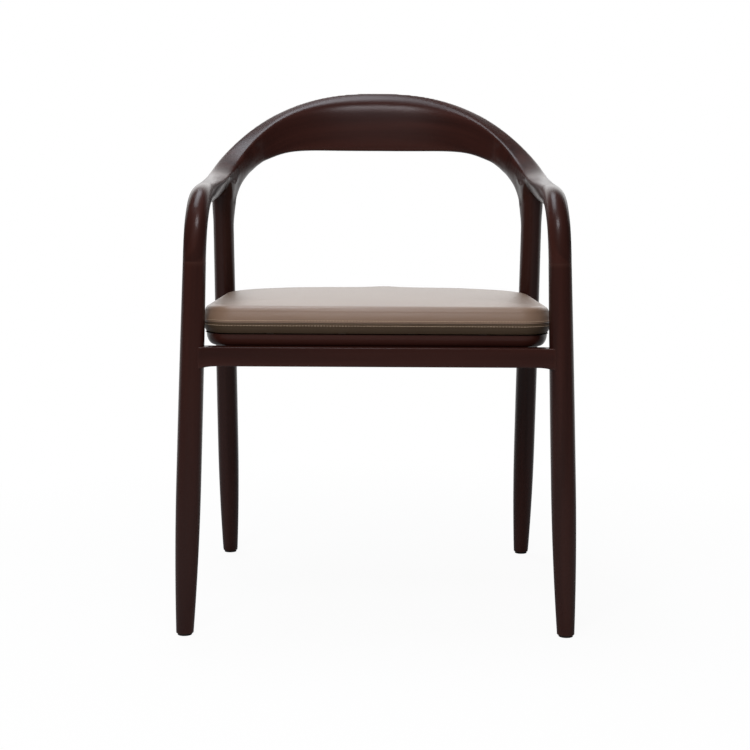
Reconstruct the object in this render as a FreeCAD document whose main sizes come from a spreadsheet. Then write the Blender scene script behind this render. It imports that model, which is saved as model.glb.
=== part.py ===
import FreeCAD, Part
import math
import os

import Sketcher

Vector = FreeCAD.Vector
UP = Vector(0, 0, 1)
ACROSS = Vector(1, 0, 0)
BACK = Vector(0, 1, 0)

# The armchair stands on z = 0, faces -Y, and its left is -X, as it is seen from the front.
# The origin is the middle of its footprint on the floor.

size_rows = [
    # stance of the legs
    ("front_foot_half_spread", 266.5),
    ("front_foot_setback", 245.0),
    ("front_leg_top_half_spread", 248.2),
    ("front_leg_top_setback", 240.0),
    ("rear_foot_half_spread", 250.0),
    ("rear_foot_depth", 240.0),
    ("rear_head_half_spread", 244.0),
    ("rear_head_depth", 100.0),
    # front leg, turned
    ("foot_diameter", 24.0),
    ("front_leg_diameter", 34.4),
    ("front_leg_swell_height", 215.0),
    ("elbow_diameter", 31.5),
    # rear leg
    ("rear_leg_diameter", 34.0),
    ("rear_leg_swell_height", 210.0),
    ("rear_leg_top_diameter", 29.0),
    ("rear_leg_rise", 30.0),
    ("branch_start_height", 520.0),
    ("branch_rise", 80.0),
    ("branch_run", 60.0),
    ("branch_end_drop", 9.0),
    # rail that runs from elbow to elbow
    ("rail_half_width", 248.0),
    ("arm_front_half_width", 244.0),
    ("rail_back_depth", 226.5),
    ("rail_curve_start", 20.0),
    ("crest_top_height", 781.5),
    ("arm_top_height", 640.0),
    ("arm_front_top_height", 627.0),
    ("arm_bottom_height", 597.0),
    ("arm_front_setback", 165.0),
    ("elbow_radius", 75.0),
    ("leg_joint_drop", 16.0),
    ("arm_joint_gap", 23.0),
    # seat
    ("seat_top_height", 458.5),
    ("seam_height", 437.0),
    ("board_bottom_height", 424.0),
    ("seat_half_width", 241.0),
    ("seat_front_setback", 246.0),
    ("seat_back_depth", 219.0),
    ("seat_front_corner_radius", 45.0),
    ("seat_back_corner_radius", 158.0),
    ("seat_crown", 6.0),
    ("seat_crown_setback", 45.0),
    ("cushion_edge_radius", 9.0),
    ("cushion_seam_radius", 3.0),
    ("leather_thickness", 1.2),
    ("board_thickness", 9.0),
    ("hem_width", 26.0),
    ("shell_edge_radius", 15.0),
    ("shell_reveal", 4.0),
    # rails and bearers
    ("rail_top_height", 405.0),
    ("front_rail_height", 27.0),
    ("front_rail_depth", 24.0),
    ("rail_end_flare", 5.0),
    ("rail_end_flare_length", 26.0),
    ("rear_rail_height", 27.0),
    ("rear_rail_depth", 24.0),
    ("tenon_height", 16.0),
    ("tenon_depth", 11.0),
    ("tenon_length", 13.0),
    ("bearer_half_spread", 150.0),
    ("bearer_width", 32.0),
    ("bearer_height", 25.0),
    ("edge_softness", 2.5),
    # dowels, screws and bolts
    ("dowel_diameter", 8.0),
    ("dowel_length", 36.0),
    ("leg_dowel_diameter", 12.0),
    ("leg_dowel_length", 60.0),
    ("crest_dowel_pitch", 20.0),
    ("arm_dowel_pitch", 14.0),
    ("arm_dowel_rise", 4.0),
    ("bearer_dowel_pitch", 16.0),
    ("bolt_diameter", 6.0),
    ("bolt_length", 34.0),
    ("bolt_head_diameter", 11.0),
    ("bolt_head_height", 3.6),
    ("bolt_hole_diameter", 7.0),
    ("bolt_inset", 60.0),
    ("washer_diameter", 16.0),
    ("washer_thickness", 1.5),
    ("insert_diameter", 10.0),
    ("insert_length", 13.0),
    ("screw_diameter", 4.0),
    ("screw_length", 22.0),
    ("screw_head_diameter", 8.0),
    ("screw_head_height", 2.6),
    ("screw_half_spread", 95.0),
    ("screw_front_setback", 150.0),
    ("screw_back_depth", 110.0),
    ("staple_wire", 1.0),
    ("staple_crown", 10.0),
    ("staple_leg", 6.0),
    # glides
    ("glide_diameter", 20.0),
    ("glide_height", 3.0),
    ("nail_diameter", 2.5),
    ("nail_length", 16.0),
    # fits
    ("dowel_clearance", 0.1),
    ("tenon_clearance", 0.2),
    ("cloth_clearance", 0.3),
    ("cut_overrun", 5.0),
]

doc = FreeCAD.newDocument("HorseshoeArmchair")
sheet = doc.addObject("Spreadsheet::Sheet", "Sizes")
for row, (alias, value) in enumerate(size_rows, start=1):
    sheet.set("A%d" % row, alias)
    sheet.set("B%d" % row, str(value))
    sheet.setAlias("B%d" % row, alias)
doc.recompute()


def size(alias):
    return float(getattr(sheet, alias))


# Pure numbers of the form

PLAN_POWER = 2.4
CREST_FALL_POWER = 1.42
CREST_BOTTOM_SHARE = 0.6
QUARTER_TURN = math.degrees(math.pi / 2)
ROUND = 0.732
ROUND_REACH = 1.011
NEAR = 1e-4
HALF_CORNER_SHARE = math.sqrt(0.5)
PLAN_STEP_SHARE = 0.005
NAIL_START_SHARE = 1 / 3


def blend(low, high, share):
    return low + (high - low) * share


def ring_poles(corners, softness):
    """Twelve poles of a closed cubic spline that rounds off four corners.

    Each corner is pulled in towards its two flanks by its softness. A square with the
    softness ROUND comes out as a circle.
    """
    poles = []
    count = len(corners)
    for index, corner in enumerate(corners):
        soft = softness[index]
        before = corner + (corners[index - 1] - corner) * (soft / 2)
        after = corner + (corners[(index + 1) % count] - corner) * (soft / 2)
        poles.append(before)
        poles.append(corner + ((before + after) * 0.5 - corner) * soft)
        poles.append(after)
    return poles


def ring(corners, softness):
    poles = ring_poles(corners, softness)
    curve = Part.BSplineCurve()
    count = len(poles)
    curve.buildFromPolesMultsKnots(poles, [1] * (count + 1), list(range(count + 1)), True, 3)
    return Part.Wire([curve.toShape()])


def frame_ring(centre, side, rise, spots, softness):
    """Ring in the plane of side and rise, with its corners at (side, rise) spots."""
    corners = [centre + side * a + rise * b for a, b in spots]
    return ring(corners, softness)


def round_ring(centre, side, rise, diameter):
    """A circle's ring. The spline touches a square a hundredth wider than its circle."""
    half = diameter / 2 * ROUND_REACH
    spots = [(half, half), (-half, half), (-half, -half), (half, -half)]
    return frame_ring(centre, side, rise, spots, [ROUND] * 4)


def loft(rings):
    solid = Part.makeLoft(rings, True, False)
    if solid.Volume < 0:
        solid.reverse()
    return solid


# Plan line of the rail: a superellipse behind, straight arms in front


def plan_point(turn):
    """Point and outward normal of the rail's middle line; turn is 0 behind, 90 at the arm."""
    angle = math.radians(abs(turn))
    sign = 1 if turn >= 0 else -1
    power = 2 / PLAN_POWER
    x = size("rail_half_width") * max(math.sin(angle), 0) ** power
    y = size("rail_curve_start") + size("rail_back_depth") * max(math.cos(angle), 0) ** power
    return Vector(sign * x, y, 0)


def plan_normal(turn):
    step = QUARTER_TURN * PLAN_STEP_SHARE
    along = plan_point(turn + step) - plan_point(turn - step)
    return along.cross(UP).normalize() * -1


crest_rise = size("crest_top_height") - size("arm_top_height")


def top_height(turn):
    return size("arm_top_height") + crest_rise * math.cos(math.radians(turn)) ** CREST_FALL_POWER


def bottom_height(share):
    """Underside of the rail: share 0 is the arm's, share 1 the crest's, which rises with its top."""
    return size("arm_bottom_height") + crest_rise * CREST_BOTTOM_SHARE * share


# Stations of the rail: turn, bottom share of the crest's drop, then sides of the outer top,
# nose, inner bottom and outer bottom as shares of the elbow's diameter, then how far the nose
# lies below the top and the outer bottom above the inner one, then the four softnesses.
crest_station_shares = [
    (0, 1.00, 0.39, -0.40, -0.45, 0.22, 0.60, 0.06, 0.28, 0.50, 0.34, 0.40),
    (12, 1.00, 0.39, -0.40, -0.45, 0.24, 0.55, 0.06, 0.28, 0.52, 0.34, 0.40),
    (24, 0.998, 0.40, -0.41, -0.44, 0.28, 0.42, 0.04, 0.30, 0.54, 0.36, 0.42),
    (34, 0.955, 0.41, -0.42, -0.43, 0.32, 0.32, 0.00, 0.32, 0.48, 0.38, 0.45),
    (44, 0.83, 0.42, -0.44, -0.41, 0.36, 0.28, -0.04, 0.34, 0.36, 0.42, 0.50),
    (54, 0.68, 0.43, -0.48, -0.36, 0.40, 0.28, -0.14, 0.36, 0.34, 0.50, 0.55),
    (64, 0.48, 0.46, -0.54, -0.26, 0.46, 0.28, -0.28, 0.38, 0.32, 0.60, 0.60),
    (73, 0.29, 0.50, -0.58, -0.18, 0.52, 0.27, -0.36, 0.42, 0.32, 0.65, 0.62),
    (82, 0.15, 0.50, -0.58, -0.16, 0.50, 0.25, -0.36, 0.45, 0.34, 0.68, 0.64),
]
# Stations of the arm: share of the way from the curve's start to the elbow, then as above.
arm_station_shares = [
    (0.10, 0.08, 0.49, -0.54, -0.20, 0.44, 0.23, -0.30, 0.50, 0.40, 0.70, 0.66),
    (0.45, 0.04, 0.49, -0.50, -0.30, 0.45, 0.18, -0.18, 0.60, 0.52, 0.72, 0.70),
    (0.78, 0.02, 0.50, -0.50, -0.42, 0.48, 0.08, -0.06, 0.68, 0.66, 0.73, 0.73),
]


def section(centre, normal, top, row):
    """Vertical section of the rail through a plan point."""
    bottom_share, sides, nose_drop, outer_lift = row[0], row[1:5], row[5], row[6]
    width = size("elbow_diameter")
    bottom = bottom_height(bottom_share)
    spots = [
        (sides[0] * width, top),
        (sides[1] * width, top - nose_drop * width),
        (sides[2] * width, bottom),
        (sides[3] * width, bottom + outer_lift * width),
    ]
    return frame_ring(centre, normal, UP, spots, row[7:11])


def crest_ring(row, sign):
    turn = row[0] * sign
    return section(plan_point(turn), plan_normal(turn), top_height(abs(turn)), row[1:])


def arm_ring(row):
    share = row[0]
    y = blend(size("rail_curve_start"), -size("arm_front_setback"), share)
    top = blend(size("arm_top_height"), size("arm_front_top_height"), share)
    x = blend(size("rail_half_width"), size("arm_front_half_width"), share)
    return section(Vector(x, y, 0), ACROSS, top, row[1:])


# Front leg line and the elbow that turns into it

front_foot = Vector(size("front_foot_half_spread"), -size("front_foot_setback"), 0)
elbow_top = Vector(
    size("arm_front_half_width"),
    -size("arm_front_setback"),
    size("arm_front_top_height") - size("elbow_diameter") / 2,
)
front_leg_top = Vector(
    size("front_leg_top_half_spread"),
    -size("front_leg_top_setback"),
    elbow_top.z - size("elbow_radius"),
)
front_leg_line = (front_leg_top - front_foot).normalize()
leg_joint = front_leg_top - front_leg_line * size("leg_joint_drop")


elbow_shares = (0, 0.25, 0.5, 0.75)


def elbow_ring(share):
    """Round section of the elbow; share is 0 at the arm and 1 at the leg."""
    angle = math.pi / 2 * share
    forward = front_leg_top.y - elbow_top.y
    x = blend(elbow_top.x, front_leg_top.x, share)
    y = elbow_top.y + forward * math.sin(angle)
    z = elbow_top.z - size("elbow_radius") * (1 - math.cos(angle))
    rise = Vector(0, -math.sin(angle), math.cos(angle))
    return round_ring(Vector(x, y, z), ACROSS, rise, size("elbow_diameter"))


def leg_ring(centre, diameter):
    side = ACROSS - front_leg_line * ACROSS.dot(front_leg_line)
    side.normalize()
    return round_ring(centre, side, side.cross(front_leg_line), diameter)


# The rail between elbow and crest, and the planes where its pieces meet

crest_joint_turn_share = 0.5556
branch_end_turn_share = 0.6
joint_step_share = 0.022


def rail_middle(turn):
    point = plan_point(turn)
    low = None
    for near, far in zip(crest_station_shares, crest_station_shares[1:]):
        if near[0] <= turn <= far[0]:
            low = blend(near[1], far[1], (turn - near[0]) / (far[0] - near[0]))
    return Vector(point.x, point.y, (bottom_height(low) + top_height(turn)) / 2)


crest_joint_turn = QUARTER_TURN * crest_joint_turn_share
joint_step = QUARTER_TURN * joint_step_share
crest_joint = rail_middle(crest_joint_turn)
crest_joint_line = rail_middle(crest_joint_turn - joint_step) - rail_middle(crest_joint_turn + joint_step)
crest_joint_line.normalize()
crest_joint_normal = Vector(crest_joint_line.x, crest_joint_line.y, 0).normalize()
arm_joint = Vector(
    size("rail_half_width"),
    size("rear_head_depth") - size("rear_leg_diameter") / 2 - size("arm_joint_gap"),
    (size("arm_top_height") + size("arm_bottom_height")) / 2,
)


def half_space(point, normal):
    """A block that fills everything on one side of a plane, far past the chair."""
    span = size("crest_top_height") * 2
    block = Part.makeBox(span, span, span, Vector(-span / 2, -span / 2, 0))
    block.Placement = FreeCAD.Placement(point, FreeCAD.Rotation(UP, normal))
    return block


# Helpers that add one object of the document each


def expression(target, **bindings):
    for name, formula in bindings.items():
        target.setExpression(name, formula)
    return target


def feature(name, shape):
    target = doc.addObject("Part::Feature", name)
    target.Shape = shape
    return target


def rod(name, start, direction, radius, length):
    """Cylinder from a point; radius and length are expressions in the sheet's names."""
    target = doc.addObject("Part::Cylinder", name)
    expression(target, Radius=radius, Height=length)
    target.Placement = FreeCAD.Placement(start, FreeCAD.Rotation(UP, direction))
    return target


def block(name, corner, length, width, height):
    target = doc.addObject("Part::Box", name)
    expression(target, Length=length, Width=width, Height=height)
    target.Placement.Base = corner
    return target


def group(name, members):
    target = doc.addObject("Part::Compound", name)
    target.Links = members
    return target


def cut(name, base, tools):
    target = doc.addObject("Part::Cut", name)
    target.Base = base
    target.Tool = tools[0] if len(tools) == 1 else group(name + "_tools", tools)
    return target


def fuse(name, members):
    target = doc.addObject("Part::MultiFuse", name)
    target.Shapes = members
    return target


def mirror(name, source):
    target = doc.addObject("Part::Mirroring", name)
    target.Source = source
    target.Normal = ACROSS
    return target


def both_sides(name, members):
    """Group of the members and their mirror images."""
    right = group(name + "_right_side", members)
    return group(name, [right, mirror(name + "_left_side", right)])


nodes = []


def node(target, name):
    target.Label = name
    nodes.append(target)
    return target


# Crest rail, rear leg heads and arms are cut from blanks that run past their joints

crest_rows = crest_station_shares[:-2]
crest_rings = [crest_ring(row, -1) for row in reversed(crest_rows)]
crest_rings += [crest_ring(row, 1) for row in crest_rows[1:]]
mirrored_joint = Vector(-crest_joint.x, crest_joint.y, crest_joint.z)
mirrored_normal = Vector(-crest_joint_normal.x, crest_joint_normal.y, 0)
crest_solid = loft(crest_rings).cut(half_space(crest_joint, crest_joint_normal * -1))
crest_solid = crest_solid.cut(half_space(mirrored_joint, mirrored_normal * -1))

head_rings = [crest_ring(row, 1) for row in crest_station_shares[3:]]
head_rings += [arm_ring(row) for row in arm_station_shares[:2]]
head_solid = loft(head_rings).cut(half_space(crest_joint, crest_joint_normal))
head_solid = head_solid.cut(half_space(arm_joint, BACK * -1))

arm_rings = [crest_ring(row, 1) for row in crest_station_shares[-3:]]
arm_rings += [arm_ring(row) for row in arm_station_shares]
arm_rings += [elbow_ring(share) for share in elbow_shares]
arm_rings += [leg_ring(front_leg_top, size("elbow_diameter"))]
arm_rings += [leg_ring(leg_joint, size("elbow_diameter"))]
arm_solid = loft(arm_rings).cut(half_space(arm_joint, BACK))

# Rear leg: a turned shaft up into the arm, and a branch that bends from it into the crest

rear_foot = Vector(size("rear_foot_half_spread"), size("rear_foot_depth"), 0)
rear_head = Vector(size("rear_head_half_spread"), size("rear_head_depth"), size("arm_bottom_height"))
rear_leg_line = (rear_head - rear_foot).normalize()


def rear_axis(z):
    return rear_foot + (rear_head - rear_foot) * (z / rear_head.z)


branch_start = rear_axis(size("branch_start_height"))
branch_end = rail_middle(QUARTER_TURN * branch_end_turn_share) - UP * size("branch_end_drop")
branch_spine = Part.BezierCurve()
branch_spine.setPoles(
    [
        branch_start,
        branch_start + rear_leg_line * size("branch_rise"),
        branch_end - crest_joint_line * size("branch_run"),
        branch_end,
    ]
)
# Branch stations: share of the spine, then width and depth as shares of the shaft's diameter.
branch_shares = [
    (0.0, 0.80, 0.80),
    (0.25, 0.90, 0.92),
    (0.5, 0.88, 1.0),
    (0.75, 0.78, 1.0),
    (1.0, 0.62, 0.90),
]


def branch_ring(row):
    share, width_share, depth_share = row
    along = Vector(branch_spine.tangent(share)[0])
    out = ACROSS * (1 - share) + crest_joint_line.cross(UP).normalize() * share
    out = (out - along * out.dot(along)).normalize()
    half_width = size("rear_leg_diameter") / 2 * ROUND_REACH * width_share
    half_depth = size("rear_leg_diameter") / 2 * ROUND_REACH * depth_share
    spots = [
        (half_width, half_depth),
        (-half_width, half_depth),
        (-half_width, -half_depth),
        (half_width, -half_depth),
    ]
    return frame_ring(branch_spine.value(share), out, along.cross(out), spots, [ROUND] * 4)


branch_solid = loft([branch_ring(row) for row in branch_shares])

# Legs: turned, with two long arcs that run straight where they meet at the swell. The arcs are
# parted above the foot and round the rail, so that each cut stays in a short band.

foot_band = (size("foot_diameter") / 2, "Sizes.foot_diameter / 2")
rail_band_low = (
    size("rail_top_height") - size("front_rail_height"),
    "Sizes.rail_top_height - Sizes.front_rail_height",
)
rail_band_high = (
    size("rail_top_height") + size("rear_rail_height") / 2,
    "Sizes.rail_top_height + Sizes.rear_rail_height / 2",
)


def arcs_on_one_circle(heights, swelled, far):
    """Arcs between the heights, on the circle through far whose centre is level with swelled."""
    rise = far[1] - swelled[1]
    shrink = swelled[0] - far[0]
    radius = (rise * rise + shrink * shrink) / (2 * shrink)
    centre = Vector(swelled[0] - radius, swelled[1], 0)
    angles = [math.asin((height - swelled[1]) / radius) for height in heights]
    circle = Part.Circle(centre, UP, radius)
    return [Part.ArcOfCircle(circle, start, end) for start, end in zip(angles, angles[1:])]


def turned_leg(name, foot, swell, swell_height, top, length):
    """Body turned about +Z. Each size is a pair: its value, and its formula in the sheet's names."""
    body = doc.addObject("PartDesign::Body", name)
    plane = next(item for item in body.Origin.OriginFeatures if item.Role == "XZ_Plane")
    sketch = body.newObject("Sketcher::SketchObject", name + "_profile")
    sketch.AttachmentSupport = [(plane, "")]
    sketch.MapMode = "FlatFace"
    low_end = (foot[0], 0)
    middle = (swell[0], swell_height[0])
    high_end = (top[0], length[0])
    low_arcs = arcs_on_one_circle([0, foot_band[0], middle[1]], middle, low_end)
    high_heights = [middle[1], rail_band_low[0], rail_band_high[0], high_end[1]]
    high_arcs = arcs_on_one_circle(high_heights, middle, high_end)
    sketch.addGeometry(Part.LineSegment(Vector(), Vector(*low_end, 0)))
    for arc in low_arcs + high_arcs:
        sketch.addGeometry(arc)
    sketch.addGeometry(Part.LineSegment(Vector(*high_end, 0), Vector(0, length[0], 0)))
    sketch.addGeometry(Part.LineSegment(Vector(0, length[0], 0), Vector()))
    swell_arc = len(low_arcs)
    top_line = swell_arc + len(high_arcs) + 1
    axis_line = top_line + 1
    for curve in range(axis_line):
        sketch.addConstraint(Sketcher.Constraint("Coincident", curve, 2, curve + 1, 1))
    sketch.addConstraint(Sketcher.Constraint("Coincident", axis_line, 2, 0, 1))
    sketch.addConstraint(Sketcher.Constraint("Coincident", 0, 1, -1, 1))
    for line, direction in [(0, "Horizontal"), (top_line, "Horizontal"), (axis_line, "Vertical")]:
        sketch.addConstraint(Sketcher.Constraint(direction, line))
    for first, last in [(1, swell_arc), (swell_arc + 1, top_line - 1)]:
        sketch.addConstraint(Sketcher.Constraint("Horizontal", first, 3, swell_arc, 2))
        for curve in range(first, last):
            sketch.addConstraint(Sketcher.Constraint("Coincident", curve, 3, curve + 1, 3))
    measures = [
        ("DistanceX", 0, foot),
        ("DistanceY", 1, foot_band),
        ("DistanceX", swell_arc, swell),
        ("DistanceY", swell_arc, swell_height),
        ("DistanceY", swell_arc + 1, rail_band_low),
        ("DistanceY", swell_arc + 2, rail_band_high),
        ("DistanceX", top_line - 1, top),
        ("DistanceY", top_line - 1, length),
    ]
    for direction, curve, (value, formula) in measures:
        index = sketch.addConstraint(Sketcher.Constraint(direction, -1, 1, curve, 2, value))
        sketch.setExpression("Constraints[%d]" % index, formula)
    turning = body.newObject("PartDesign::Revolution", name + "_turning")
    turning.Profile = sketch
    turning.ReferenceAxis = (sketch, ["V_Axis"])
    turning.Angle = 360
    body.Tip = turning
    return body


leg_rise = "(Sizes.arm_front_top_height - Sizes.elbow_diameter / 2 - Sizes.elbow_radius)"
leg_lean = "(Sizes.front_foot_half_spread - Sizes.front_leg_top_half_spread)"
leg_rake = "(Sizes.front_foot_setback - Sizes.front_leg_top_setback)"
front_leg_turned = turned_leg(
    "front_leg_turned",
    (size("foot_diameter") / 2, "Sizes.foot_diameter / 2"),
    (size("front_leg_diameter") / 2, "Sizes.front_leg_diameter / 2"),
    (size("front_leg_swell_height"), "Sizes.front_leg_swell_height"),
    (size("elbow_diameter") / 2, "Sizes.elbow_diameter / 2"),
    (
        (leg_joint - front_foot).Length,
        "sqrt(%s ^ 2 + %s ^ 2 + %s ^ 2) - Sizes.leg_joint_drop" % (leg_rise, leg_lean, leg_rake),
    ),
)
front_leg_turned.Placement = FreeCAD.Placement(front_foot, FreeCAD.Rotation(UP, front_leg_line))

rear_lean = "(Sizes.rear_foot_half_spread - Sizes.rear_head_half_spread)"
rear_rake = "(Sizes.rear_foot_depth - Sizes.rear_head_depth)"
rear_shaft = turned_leg(
    "rear_leg_shaft",
    (size("foot_diameter") / 2, "Sizes.foot_diameter / 2"),
    (size("rear_leg_diameter") / 2, "Sizes.rear_leg_diameter / 2"),
    (size("rear_leg_swell_height"), "Sizes.rear_leg_swell_height"),
    (size("rear_leg_top_diameter") / 2, "Sizes.rear_leg_top_diameter / 2"),
    (
        (rear_head - rear_foot).Length + size("rear_leg_rise"),
        "sqrt(%s ^ 2 + %s ^ 2 + Sizes.arm_bottom_height ^ 2)" % (rear_lean, rear_rake) + " + Sizes.rear_leg_rise",
    ),
)
rear_shaft.Placement = FreeCAD.Placement(rear_foot, FreeCAD.Rotation(UP, rear_leg_line))
rear_branch = feature("rear_leg_branch", branch_solid)
rear_leg_blank = fuse("rear_leg_blank", [rear_shaft, rear_branch, feature("rear_leg_head", head_solid)])

# Fits between the sculpted pieces: dowels at the crest, arm and leg joints


def dowel_pair(name, joint, along, pitch):
    """Two dowels one above the other, and the bores that take them."""
    dowels = []
    bores = []
    for sign in (-1, 1):
        spot = joint + UP * (sign * size(pitch) / 2)
        start = spot - along * (size("dowel_length") / 2)
        bore_start = start - along * size("dowel_clearance")
        tag = "%s_%d" % (name, len(dowels) + 1)
        dowels.append(rod(tag, start, along, "Sizes.dowel_diameter / 2", "Sizes.dowel_length"))
        bores.append(
            rod(
                tag + "_bore",
                bore_start,
                along,
                "Sizes.dowel_diameter / 2 + Sizes.dowel_clearance",
                "Sizes.dowel_length + 2 * Sizes.dowel_clearance",
            )
        )
    return dowels, group(name + "_bores", bores)


crest_dowels, crest_bores = dowel_pair("crest_dowel", crest_joint, crest_joint_line, "crest_dowel_pitch")
arm_dowel_middle = arm_joint + UP * size("arm_dowel_rise")
arm_dowels, arm_bores = dowel_pair("arm_dowel", arm_dowel_middle, BACK, "arm_dowel_pitch")
leg_dowel_start = leg_joint - front_leg_line * (size("leg_dowel_length") / 2)
leg_dowel = rod(
    "leg_dowel", leg_dowel_start, front_leg_line, "Sizes.leg_dowel_diameter / 2", "Sizes.leg_dowel_length"
)
leg_bore = rod(
    "leg_dowel_bore",
    leg_dowel_start - front_leg_line * size("dowel_clearance"),
    front_leg_line,
    "Sizes.leg_dowel_diameter / 2 + Sizes.dowel_clearance",
    "Sizes.leg_dowel_length + 2 * Sizes.dowel_clearance",
)

# Front and rear rails: flared where they meet the legs, coped to them and tenoned into them

# Stations of a rail's flare: share of its length from the rail's body to the leg's face, then
# the flare's share there. The last one is inside the leg.
rail_flare_shares = [(0.0, 0.0), (0.5, 0.16), (0.8, 0.48), (1.0, 1.0), (1.6, 2.1)]


def rounded_wire(x, y, half, low, high):
    """Rounded rectangle across a rail, at a place along X."""
    soft = size("edge_softness")
    corners = [(-half, low), (half, low), (half, high), (-half, high)]
    edges = []
    for (a, b), (c, d) in zip(corners, corners[1:] + corners[:1]):
        run = Vector(0, c - a, d - b).normalize()
        start = Vector(x, y + a, b) + run * soft
        end = Vector(x, y + c, d) - run * soft
        turned = Vector(0, -run.z, run.y)
        middle = end + run * (soft * HALF_CORNER_SHARE) + turned * (soft * (1 - HALF_CORNER_SHARE))
        edges.append(Part.makeLine(start, end))
        edges.append(Part.Arc(end, middle, end + (run + turned) * soft).toShape())
    return Part.Wire(edges)


def rail_blank(y, leg_centre_x, leg_diameter, height, depth):
    """Rail along X with softened edges and flared ends, before its coping."""
    top = size("rail_top_height")
    face = leg_centre_x - leg_diameter / 2
    start = face - size("rail_end_flare_length")
    end_wires = []
    for share, flare_share in rail_flare_shares:
        flare = size("rail_end_flare") * flare_share
        x = blend(start, face, share)
        end_wires.append(rounded_wire(x, y, depth / 2 + flare / 2, top - height - flare, top))
    body = Part.Face(rounded_wire(-start, y, depth / 2, top - height, top)).extrude(ACROSS * (2 * start))
    end = Part.makeLoft(end_wires, True, True)
    return body.fuse([end, end.mirror(Vector(), ACROSS)])


def tenon(name, inner_x, y, height, clearance):
    """Tenon block on +X from inside the rail into the leg; its mortise has the clearance."""
    corner = Vector(
        inner_x - size("tenon_length"),
        y - size("tenon_depth") / 2 - clearance,
        size("rail_top_height") - height / 2 - size("tenon_height") / 2 - clearance,
    )
    gap = " + 2 * Sizes.tenon_clearance" if clearance else ""
    end = " + Sizes.tenon_clearance" if clearance else ""
    return block(
        name, corner, "2 * Sizes.tenon_length" + end, "Sizes.tenon_depth" + gap, "Sizes.tenon_height" + gap
    )


def rail(name, y, leg_centre_x, leg_diameter, height, depth, legs):
    """A rail node, and the mortise that its tenon needs in the right leg."""
    face = leg_centre_x - leg_diameter / 2
    blank = feature(name + "_blank", rail_blank(y, leg_centre_x, leg_diameter, height, depth))
    coped = cut(name + "_coped", blank, legs)
    peg = tenon(name + "_tenon_right", face, y, height, 0)
    mortise = tenon(name + "_mortise_right", face, y, height, size("tenon_clearance"))
    node(fuse(name, [coped, peg, mirror(name + "_tenon_left", peg)]), name)
    return mortise


def line_at_height(foot, head, z):
    return foot + (head - foot) * ((z - foot.z) / (head.z - foot.z))


front_rail_middle = size("rail_top_height") - size("front_rail_height") / 2
front_rail_end = line_at_height(front_foot, front_leg_top, front_rail_middle)
rear_rail_middle = size("rail_top_height") - size("rear_rail_height") / 2
rear_rail_end = line_at_height(rear_foot, rear_head, rear_rail_middle)
front_legs = [front_leg_turned, mirror("front_leg_turned_left", front_leg_turned)]
rear_legs = [rear_shaft, mirror("rear_leg_shaft_left", rear_shaft)]
front_mortise = rail(
    "front_rail",
    front_rail_end.y,
    front_rail_end.x,
    size("front_leg_diameter"),
    size("front_rail_height"),
    size("front_rail_depth"),
    front_legs,
)
rear_mortise = rail(
    "rear_rail",
    rear_rail_end.y,
    rear_rail_end.x,
    size("rear_leg_diameter"),
    size("rear_rail_height"),
    size("rear_rail_depth"),
    rear_legs,
)

# Glides and their nails


def glide(name, foot):
    """Glide under the right foot of a pair, its nail, and what the nail and floor take from the leg."""
    disc = rod(name + "_disc", foot, UP, "Sizes.glide_diameter / 2", "Sizes.glide_height")
    nail_start = foot + UP * (size("glide_height") * NAIL_START_SHARE)
    nail = rod(name + "_nail", nail_start, UP, "Sizes.nail_diameter / 2", "Sizes.nail_length")
    node(cut(name + "_right", disc, [nail]), name + "_right")
    node(mirror(name + "_left", doc.getObject(name + "_right")), name + "_left")
    reach = size("foot_diameter")
    floor = block(
        name + "_floor",
        foot - Vector(reach, reach, reach),
        "2 * Sizes.foot_diameter",
        "2 * Sizes.foot_diameter",
        "Sizes.foot_diameter + Sizes.glide_height",
    )
    return nail, floor


front_glide_spot = line_at_height(front_foot, front_leg_top, 0)
rear_glide_spot = rear_axis(0)
front_nail, front_floor = glide("glide_front", front_glide_spot)
rear_nail, rear_floor = glide("glide_rear", rear_glide_spot)

# The frame's nodes

crest_bores_all = both_sides("crest_bores_both", [crest_bores])
node(cut("crest_rail", feature("crest_blank", crest_solid), [crest_bores_all]), "crest_rail")
arm_blank = feature("arm_blank", arm_solid)
pairs = [
    ("arm", arm_blank, [arm_bores, leg_bore]),
    ("front_leg", front_leg_turned, [front_floor, front_mortise, leg_bore, front_nail]),
    ("rear_leg", rear_leg_blank, [rear_floor, rear_mortise, crest_bores, arm_bores, rear_nail]),
]
for name, blank, tools in pairs:
    right = node(cut(name + "_right", blank, tools), name + "_right")
    node(mirror(name + "_left", right), name + "_left")
node(both_sides("crest_dowels", crest_dowels), "crest_dowels")
node(both_sides("arm_dowels", arm_dowels), "arm_dowels")
node(both_sides("leg_dowels", [leg_dowel]), "leg_dowels")
node(both_sides("glide_nails", [front_nail, rear_nail]), "glide_nails")

# Seat: every layer is one plan outline with rounded corners, drawn in by its inset


def edges_between(shape, low, high):
    """Edges that lie wholly between two heights."""
    return [edge for edge in shape.Edges if edge.BoundBox.ZMin > low and edge.BoundBox.ZMax < high]


def is_upright(edge):
    ends = edge.Vertexes
    return len(ends) == 2 and (ends[0].Point - ends[1].Point).cross(UP).Length < NEAR


def slab(inset, low, high):
    wide = size("seat_half_width") - inset
    front = -size("seat_front_setback") + inset
    back = size("seat_back_depth") - inset
    box = Part.makeBox(2 * wide, back - front, high - low, Vector(-wide, front, low))
    for side, radius in (("front", "seat_front_corner_radius"), ("back", "seat_back_corner_radius")):
        spot_y = front if side == "front" else back
        uprights = [edge for edge in box.Edges if is_upright(edge)]
        corners = [edge for edge in uprights if abs(edge.CenterOfMass.y - spot_y) < NEAR]
        box = box.makeFillet(size(radius) - inset, corners)
    return box


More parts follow.
